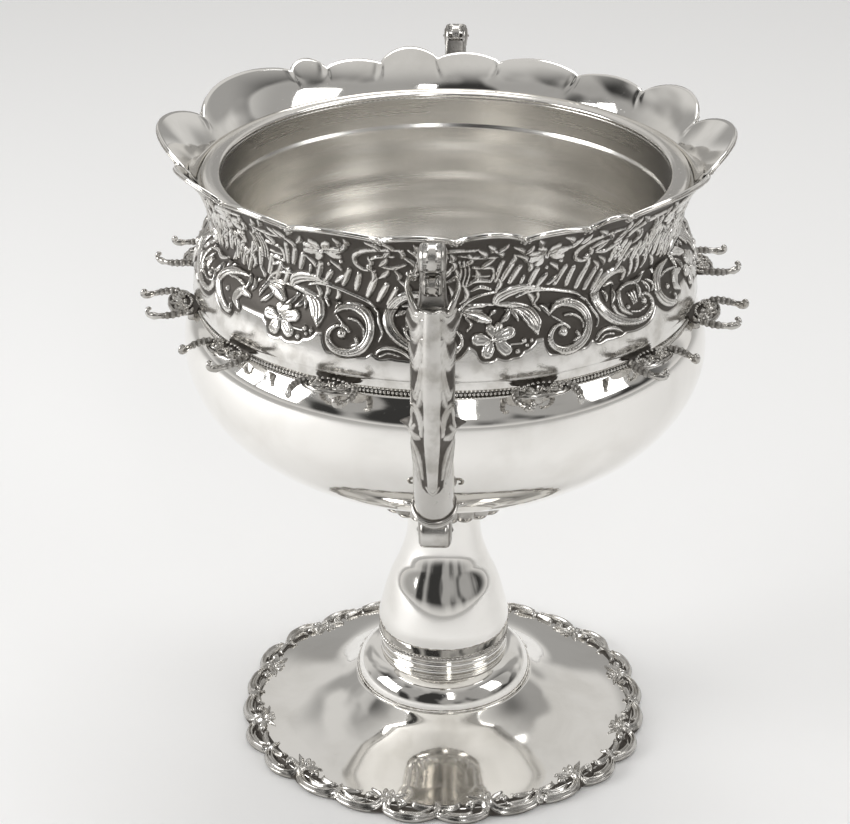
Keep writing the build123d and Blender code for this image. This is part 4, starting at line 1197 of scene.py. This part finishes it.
# %% Handles
t = np.linspace(0, 1, len(grip_line))
bare = eased(grip_run, 0.75 * leaf_long, 0.98 * leaf_long)  # the tube is thinner where the leaf covers it
grip_girth = (grip_radius - 0.6 + 0.6 * bare) * np.sqrt(np.clip(t * 60, 0.02, 1))
grip_path = np.stack([0 * t, -grip_line[:, 0], grip_line[:, 1]], axis=1)
grip_part = closed(rod(grip_path, grip_girth, grip_girth, (1, 0, 0), 48), 0.0)


def collar_on_grip(first, last, tall, ears):
    """A ring round the grip between two lengths along it, with a small ear on each side."""
    run = np.linspace(first, last, 22)
    centre = np.stack([0 * run, -np.interp(run, grip_run, grip_line[:, 0]),
                       np.interp(run, grip_run, grip_line[:, 1])], axis=1)
    s = np.linspace(-1, 1, 22)
    girth = grip_radius - 0.4 + tall * np.sqrt(np.clip(1 - s**4, 0, 1)) * (0.8 + 0.2 * np.cos(3 * pi * s))
    ring = closed(rod(centre, girth, girth, (1, 0, 0), 56),
                  np.repeat((0.2 + 0.5 * (np.cos(3 * pi * s) < -0.3))[:, None], 56, axis=1))
    parts = [ring]
    for side in (-1, 1) if ears else ():
        y, z = centre[11, 1], centre[11, 2]
        path = smooth_line([(side * 10, y, z), (side * 13.4, y - 0.5, z + 1.0), (side * 15.6, y + 1.4, z + 0.6),
                            (side * 15.0, y + 3.4, z - 1.0), (side * 13.4, y + 3.2, z - 1.6)], 22)
        parts.append(closed(rod(path, np.linspace(1.7, 1.0, 22), np.linspace(1.5, 0.9, 22), (0, 0.4, 1), 12), 0.25))
    return parts


def strap(points, half_width, thick):
    """A flat strap through points in the handle's plane, squarish in section."""
    line = smooth_line(points, 48)
    path = np.stack([0 * line[:, 0], -line[:, 0], line[:, 1]], axis=1)
    wide = np.interp(np.linspace(0, 1, 48), np.linspace(0, 1, len(half_width)), half_width)
    deep = np.interp(np.linspace(0, 1, 48), np.linspace(0, 1, len(thick)), thick)
    return closed(rod(path, wide, deep, (1, 0, 0), 40, 0.45), 0.45)


scroll_parts = [roll(183, 376.9, 7.4, 7.4, 2.3), roll(181.2, 361.8, 5.6, 5.8, 1.8, 60, 0.4),
                strap([(175.0, 344), (174.6, 356), (176.0, 367), (179.0, 377)], [8.6, 7.0, 6.4, 6.6, 6.0],
                      [3.4, 3.0, 2.8, 3.0])]
for side in (-1, 1):
    path = smooth_line([(side * 7.0, -181, 345), (side * 10.4, -180, 353), (side * 12.6, -177, 359),
                        (side * 11.6, -174.5, 363), (side * 9.2, -174, 361.5)], 34)
    scroll_parts.append(closed(rod(path, np.linspace(2.8, 1.0, 34), np.linspace(2.2, 0.9, 34), (0, 1, 0.2), 12), 0.3))
bracket_parts = [strap([(132.6, 337), (146, 337.6), (158, 339), (172, 341)], [5.0, 3.9, 4.2, 5.0],
                       [5.8, 4.6, 4.6, 5.8])]
curl_parts = [roll(139.8, 202.6, 9.7, 9.2, 2.4, 80, 0.1),
              strap([(143.5, 209.5), (137.5, 213.6), (129.5, 213.8), (122.5, 209.0)], [8.8, 8.6, 8.0, 7.4],
                    [4.6, 4.4, 4.2, 4.6])]
cuff_parts = collar_on_grip(grip_run[-1] - 9.5, grip_run[-1] - 4.5, 2.1, True)
cast_work = {"leaf": [leaf_part], "scroll": scroll_parts, "bracket": bracket_parts, "curl": curl_parts,
             "cuff": cuff_parts}
for name, turn in (("front", 0), ("rear", 180)):
    # The grip takes the darker copy of polished silver, whose lowered colour is painted shade.
    cast_piece(f"{name}_grip_cast", turned_about([grip_part], turn), [f"{name}_handle_grip"],
               grip_silver_painted_dark)
    for what, parts in cast_work.items():
        cast_piece(f"{name}_{what}_cast", turned_about(parts, turn), [f"{name}_handle_{what}"])

# %% [markdown]
# The foot border is a run of C-scrolls that hug a lobed outline. Pairs of curls meet at a flower that
# points inwards. Six equal lengths were cast and soldered end to end.


# %% Foot border
border_inner = 102


def border_edge(angles):
    """Outline radius: each 15-degree lobe rises from a cusp by a half-sine to its own crown."""
    within = np.asarray(angles) % 60
    lobe = np.minimum((within // 15).astype(int), 3)
    crown = np.array([0, 2.5, 2.5, 0])[lobe]
    share = (within - 15 * lobe) / 15
    return border_radius - 6 + (6 - crown) * np.sin(pi * share) ** 0.8


flower_radius = 111.4


def border_length(sheet):
    """One cast length of 60 degrees: four C-scrolls, two flowers with leaves, and a leaf at two cusps."""
    for number, (start, crown) in enumerate(((0, 127.5), (15, 125), (30, 125), (45, 127.5))):
        flip = 1 if number % 2 == 0 else -1
        middle = start + 7.5

        def at(points):
            return np.array([(middle + flip * x, crown + y) for x, y in points])

        sheet.stroke(at([(-7.0, -6.6), (-5.0, -3.6), (-1.5, -2.0), (2.5, -2.4), (5.4, -4.8), (6.6, -8.4),
                         (5.8, -12.0), (3.2, -13.2), (1.5, -11.0), (2.6, -9.0)]),
                     [1.3, 2.5, 2.8, 2.7, 2.4, 2.2, 2.0, 1.7, 1.3, 0.9], 3.6, "ribbed", 1.0)
        sheet.bead(middle + flip * 3.1, crown - 10.8, 1.3, 3.0)
        sheet.stroke(at([(-5.6, -8.0), (-3.2, -5.9), (0.2, -5.2), (2.6, -6.6)]), [0.6, 1.1, 1.1, 0.5], 2.6, "round",
                     1)
        sheet.stroke(at([(-6.6, -9.6), (-4.2, -9.4), (-1.6, -10.4), (-0.4, -13.4)]), [0.8, 1.8, 1.7, 0.5], 2.9,
                     "ribbed", 1.0)
    for cusp in (15, 45):
        for k in range(5):
            tip = (cusp + 1.75 * cos(radians(72 * k + 90)), flower_radius + 3.7 * sin(radians(72 * k + 90)))
            sheet.stroke([(cusp, flower_radius), tip], [0.9, 2.0, 1.8], 3.1, "petal", 1)
        sheet.bead(cusp, flower_radius, 1.2, 3.8)
        for flip in (-1, 1):
            sheet.stroke([(cusp + flip * 1.2, 113), (cusp + flip * 3.0, 110.6), (cusp + flip * 5.6, 108.6)],
                         [1.2, 2.0, 0.6], 2.9, "ribbed", 1.0)
    for cusp in (0, 30):
        sheet.stroke([(cusp, 121.2), (cusp + 0.5, 117), (cusp, 112.4)], [1.8, 2.1, 0.7], 3.0, "ribbed", 1.5)


ring_sheet = Sheet(2160, np.linspace(100, 129, 170), radians(1) * 119)
for unit_angle in range(0, 360, 60):
    ring_sheet.draw(border_length, unit_angle)
plate_sorted = plate_line[np.argsort(plate_line[:, 0])]
columns, rows = 1260, 52
angles = np.linspace(0, 360, columns, endpoint=False)[None, :]
edge_here = border_edge(angles)
share = np.linspace(0, 1, rows)[:, None]
radius = border_inner + share * (edge_here - border_inner)
tall = read_sheet(softened(ring_sheet.height, 1), ring_sheet, angles + 0 * radius, radius)
sheet_level = np.interp(radius, plate_sorted[:, 0], plate_sorted[:, 1])
base_level = sheet_level - 0.9 + 1.3 * eased(radius, 113, 115.5) - 3.0 * eased(radius, 116, 122)
from_edge = edge_here - radius
top = base_level + tall * eased(from_edge, 0, 1.4)
bottom_radius = np.stack([edge_here[0] - 0.5, edge_here[0] - 1.6, edge_here[0] * 0 + 115.5, edge_here[0] * 0 + 114.0,
                          edge_here[0] * 0 + border_inner])
under = np.interp(border_inner, plate_sorted[:, 0], plate_sorted[:, 1]) - 1.3
bottom_level = np.array([1.4, 0.02, 0.02, 4.2, under])[:, None] + 0 * angles
radius, level = np.concatenate([radius, bottom_radius]), np.concatenate([top, bottom_level])
grid = on_ring(radius, level, np.radians(angles))
points = grid.reshape(-1, 3)
faces = outward(points, grid_faces(len(grid), columns, wrap_rows=True, wrap_columns=True))
deep = np.concatenate([eased(1.8 - tall, 0, 1.6) * 0.95, np.full((5, columns), 0.5)])
piece_from("foot_border_cast", points, faces, "bowl", ["foot_border"], cast_silver, deep)

# %% [markdown]
# Inside the foot a rod, a wide washer and a nut hold foot, stem and bowl together. They are seen only
# from below: turned steel and a brass nut.


# %% Rod, washer, nut and boss plate
def turned_metal(name, pale, deep, gloss):
    """Turned metal: fine tool rings by radius and height, with a faint stain."""
    f = Finish(bpy.data.materials.new(name))
    place = f.place()
    rings = f.noise(f.by_section(place), 900.0, 3.0, 0.6)
    stain = f.noise(place, 60.0, 4.0, 0.6)
    return f.wear(base_color=f.mixed(stain.between(0.4, 0.7), pale, deep), metallic=1.0,
                  roughness=gloss + rings * 0.15 + stain * 0.1, normal=f.relief(rings, 0.3, 0.0003))


turned_steel = turned_metal("turned_steel", (0.56, 0.56, 0.55, 1), (0.38, 0.36, 0.33, 1), 0.28)
turned_brass = turned_metal("turned_brass", (0.72, 0.53, 0.27, 1), (0.45, 0.31, 0.15, 1), 0.22)
rod_low, rod_high, _ = span("tie_rod")
thread = np.linspace(rod_low, rod_low + 17, 180)
thread_pitch = 1.25
thread_line = np.stack([3.75 + 0.25 * np.cos((thread - rod_low) * 2 * pi / thread_pitch), thread], axis=1)
rod_line = chain([(0.02, rod_low)], thread_line, [(4.0, rod_low + 17.2), (4.0, rod_high), (0.02, rod_high)])
turned_piece("tie_rod_turned", rod_line, "bowl", ["tie_rod"], turned_steel, 40)
low, high, outer = span("foot_washer")
washer_section = [(4.3, low), (outer - 0.4, low), (outer, low + 0.4), (outer, high - 0.4), (outer - 0.4, high),
                  (4.3, high)]
turned_piece("washer_turned", washer_section, "bowl", ["foot_washer"], turned_steel, 200)
low, high, outer = span("stud_plate")
turned_piece("boss_plate_turned", [(0.02, low), (outer - 0.5, low), (outer, low + 0.5), (outer, high), (0.02, high)],
             "bowl", ["stud_plate"], turned_steel, 160)
low, high, _ = span("foot_nut")
nut_flat = 6.5


def six_sided(radius, height, angle):
    """Hexagon from a circle: the radius may not pass the flat."""
    flat = nut_flat / np.cos((angle + pi / 6) % (pi / 3) - pi / 6)
    return np.minimum(radius, flat), height


nut_section = [(4.1, low), (6.4, low), (7.4, low + 0.7), (7.6, low + 1.0), (7.6, high - 1.0), (7.4, high - 0.7),
               (6.4, high), (4.1, high)]
turned_piece("nut_turned", nut_section, "bowl", ["foot_nut"], turned_brass, 120, six_sided)

# %% [markdown]
# ## Floor, light and camera
# A pale floor with a soft studio round it. Silver shows only what surrounds it, so the room matters
# more than the lamps: a pale ground, a darker middle band and bright windows are what give the
# curves their bright and dark shapes.


# %% Floor
def plain_finish(name, colour, roughness):
    f = Finish(bpy.data.materials.new(name))
    mottle = f.noise(f.place(), 3.0, 2.0, 0.5)
    return f.wear(base_color=f.mixed(mottle * 0.1, colour, tuple(0.96 * c for c in colour[:3]) + (1,)),
                  roughness=roughness)


floor_mesh = bpy.data.meshes.new("floor")
floor_mesh.from_pydata([(-25, -25, 0), (25, -25, 0), (25, 25, 0), (-25, 25, 0)], [], [(0, 1, 2, 3)])
floor_mesh.materials.append(plain_finish("pale_floor", (0.94, 0.94, 0.94, 1), 0.75))
floor = bpy.data.objects.new("floor", floor_mesh)
bpy.context.scene.collection.objects.link(floor)

# %% Studio light
world = bpy.data.worlds.new("studio")
bpy.context.scene.world = world
room = Finish(world)
direction = room.node("ShaderNodeTexCoord", output="Generated")
height = room.node("ShaderNodeSeparateXYZ", {}, [direction], output=2)
furniture = room.noise(room.stretched(direction, (1.0, 1.0, 0.55)), 2.3, 1.5, 0.5).between(0.44, 0.56)
behind = room.node("ShaderNodeSeparateXYZ", {}, [direction], output=1).between(0.05, 0.55)
ground_glow = 1 - height.between(-0.02, 0.12)
ceiling = height.between(0.66, 0.92)
wall_level = (0.05 + furniture * 0.42) * (1 - behind) + (0.45 + furniture * 0.40) * behind
level = ground_glow * 0.95 + (1 - ground_glow) * (1 - ceiling) * wall_level + ceiling * 0.8
room.join(room.nodes["Background"].inputs["Color"], (1.0, 0.985, 0.96, 1))
room.join(room.nodes["Background"].inputs["Strength"], level * 0.80)
bpy.context.scene.view_settings.view_transform = "Standard"


def lamp(name, place, aim, size, power, tint=(1, 1, 1)):
    """A soft rectangular lamp at a place, turned towards a point."""
    light = bpy.data.lights.new(name, "AREA")
    light.shape, light.size, light.size_y, light.energy, light.color = "RECTANGLE", size[0], size[1], power, tint
    holder = bpy.data.objects.new(name, light)
    holder.location = place
    holder.rotation_euler = (Vector(aim) - Vector(place)).to_track_quat("-Z", "Y").to_euler()
    bpy.context.scene.collection.objects.link(holder)


middle = (0, 0, 0.25)
for column in range(3):
    for row in range(2):
        lamp(f"window_pane_{column}_{row}", (-1.9 + 0.02 * column, -0.9 + 0.42 * column, 0.75 + 0.5 * row), middle,
             (0.36, 0.44), 3.4)
lamp("side_lamp", (2.2, -0.6, 1.5), middle, (0.9, 1.4), 10.0)
lamp("top_lamp", (0.3, 0.8, 2.6), middle, (1.6, 1.2), 18.0)
lamp("front_lamp", (0.5, -2.3, 1.7), middle, (0.30, 1.3), 6.0)

# %% Camera
camera_data = bpy.data.cameras.new("camera")
camera_data.sensor_width, camera_data.lens = 36.0, 97.96
camera = bpy.data.objects.new("camera", camera_data)
camera.location = (0.0416, -1.2208, 0.8031)
camera.rotation_euler = (radians(63.878), 0, radians(2.49))
bpy.context.scene.collection.objects.link(camera)
bpy.context.scene.camera = camera
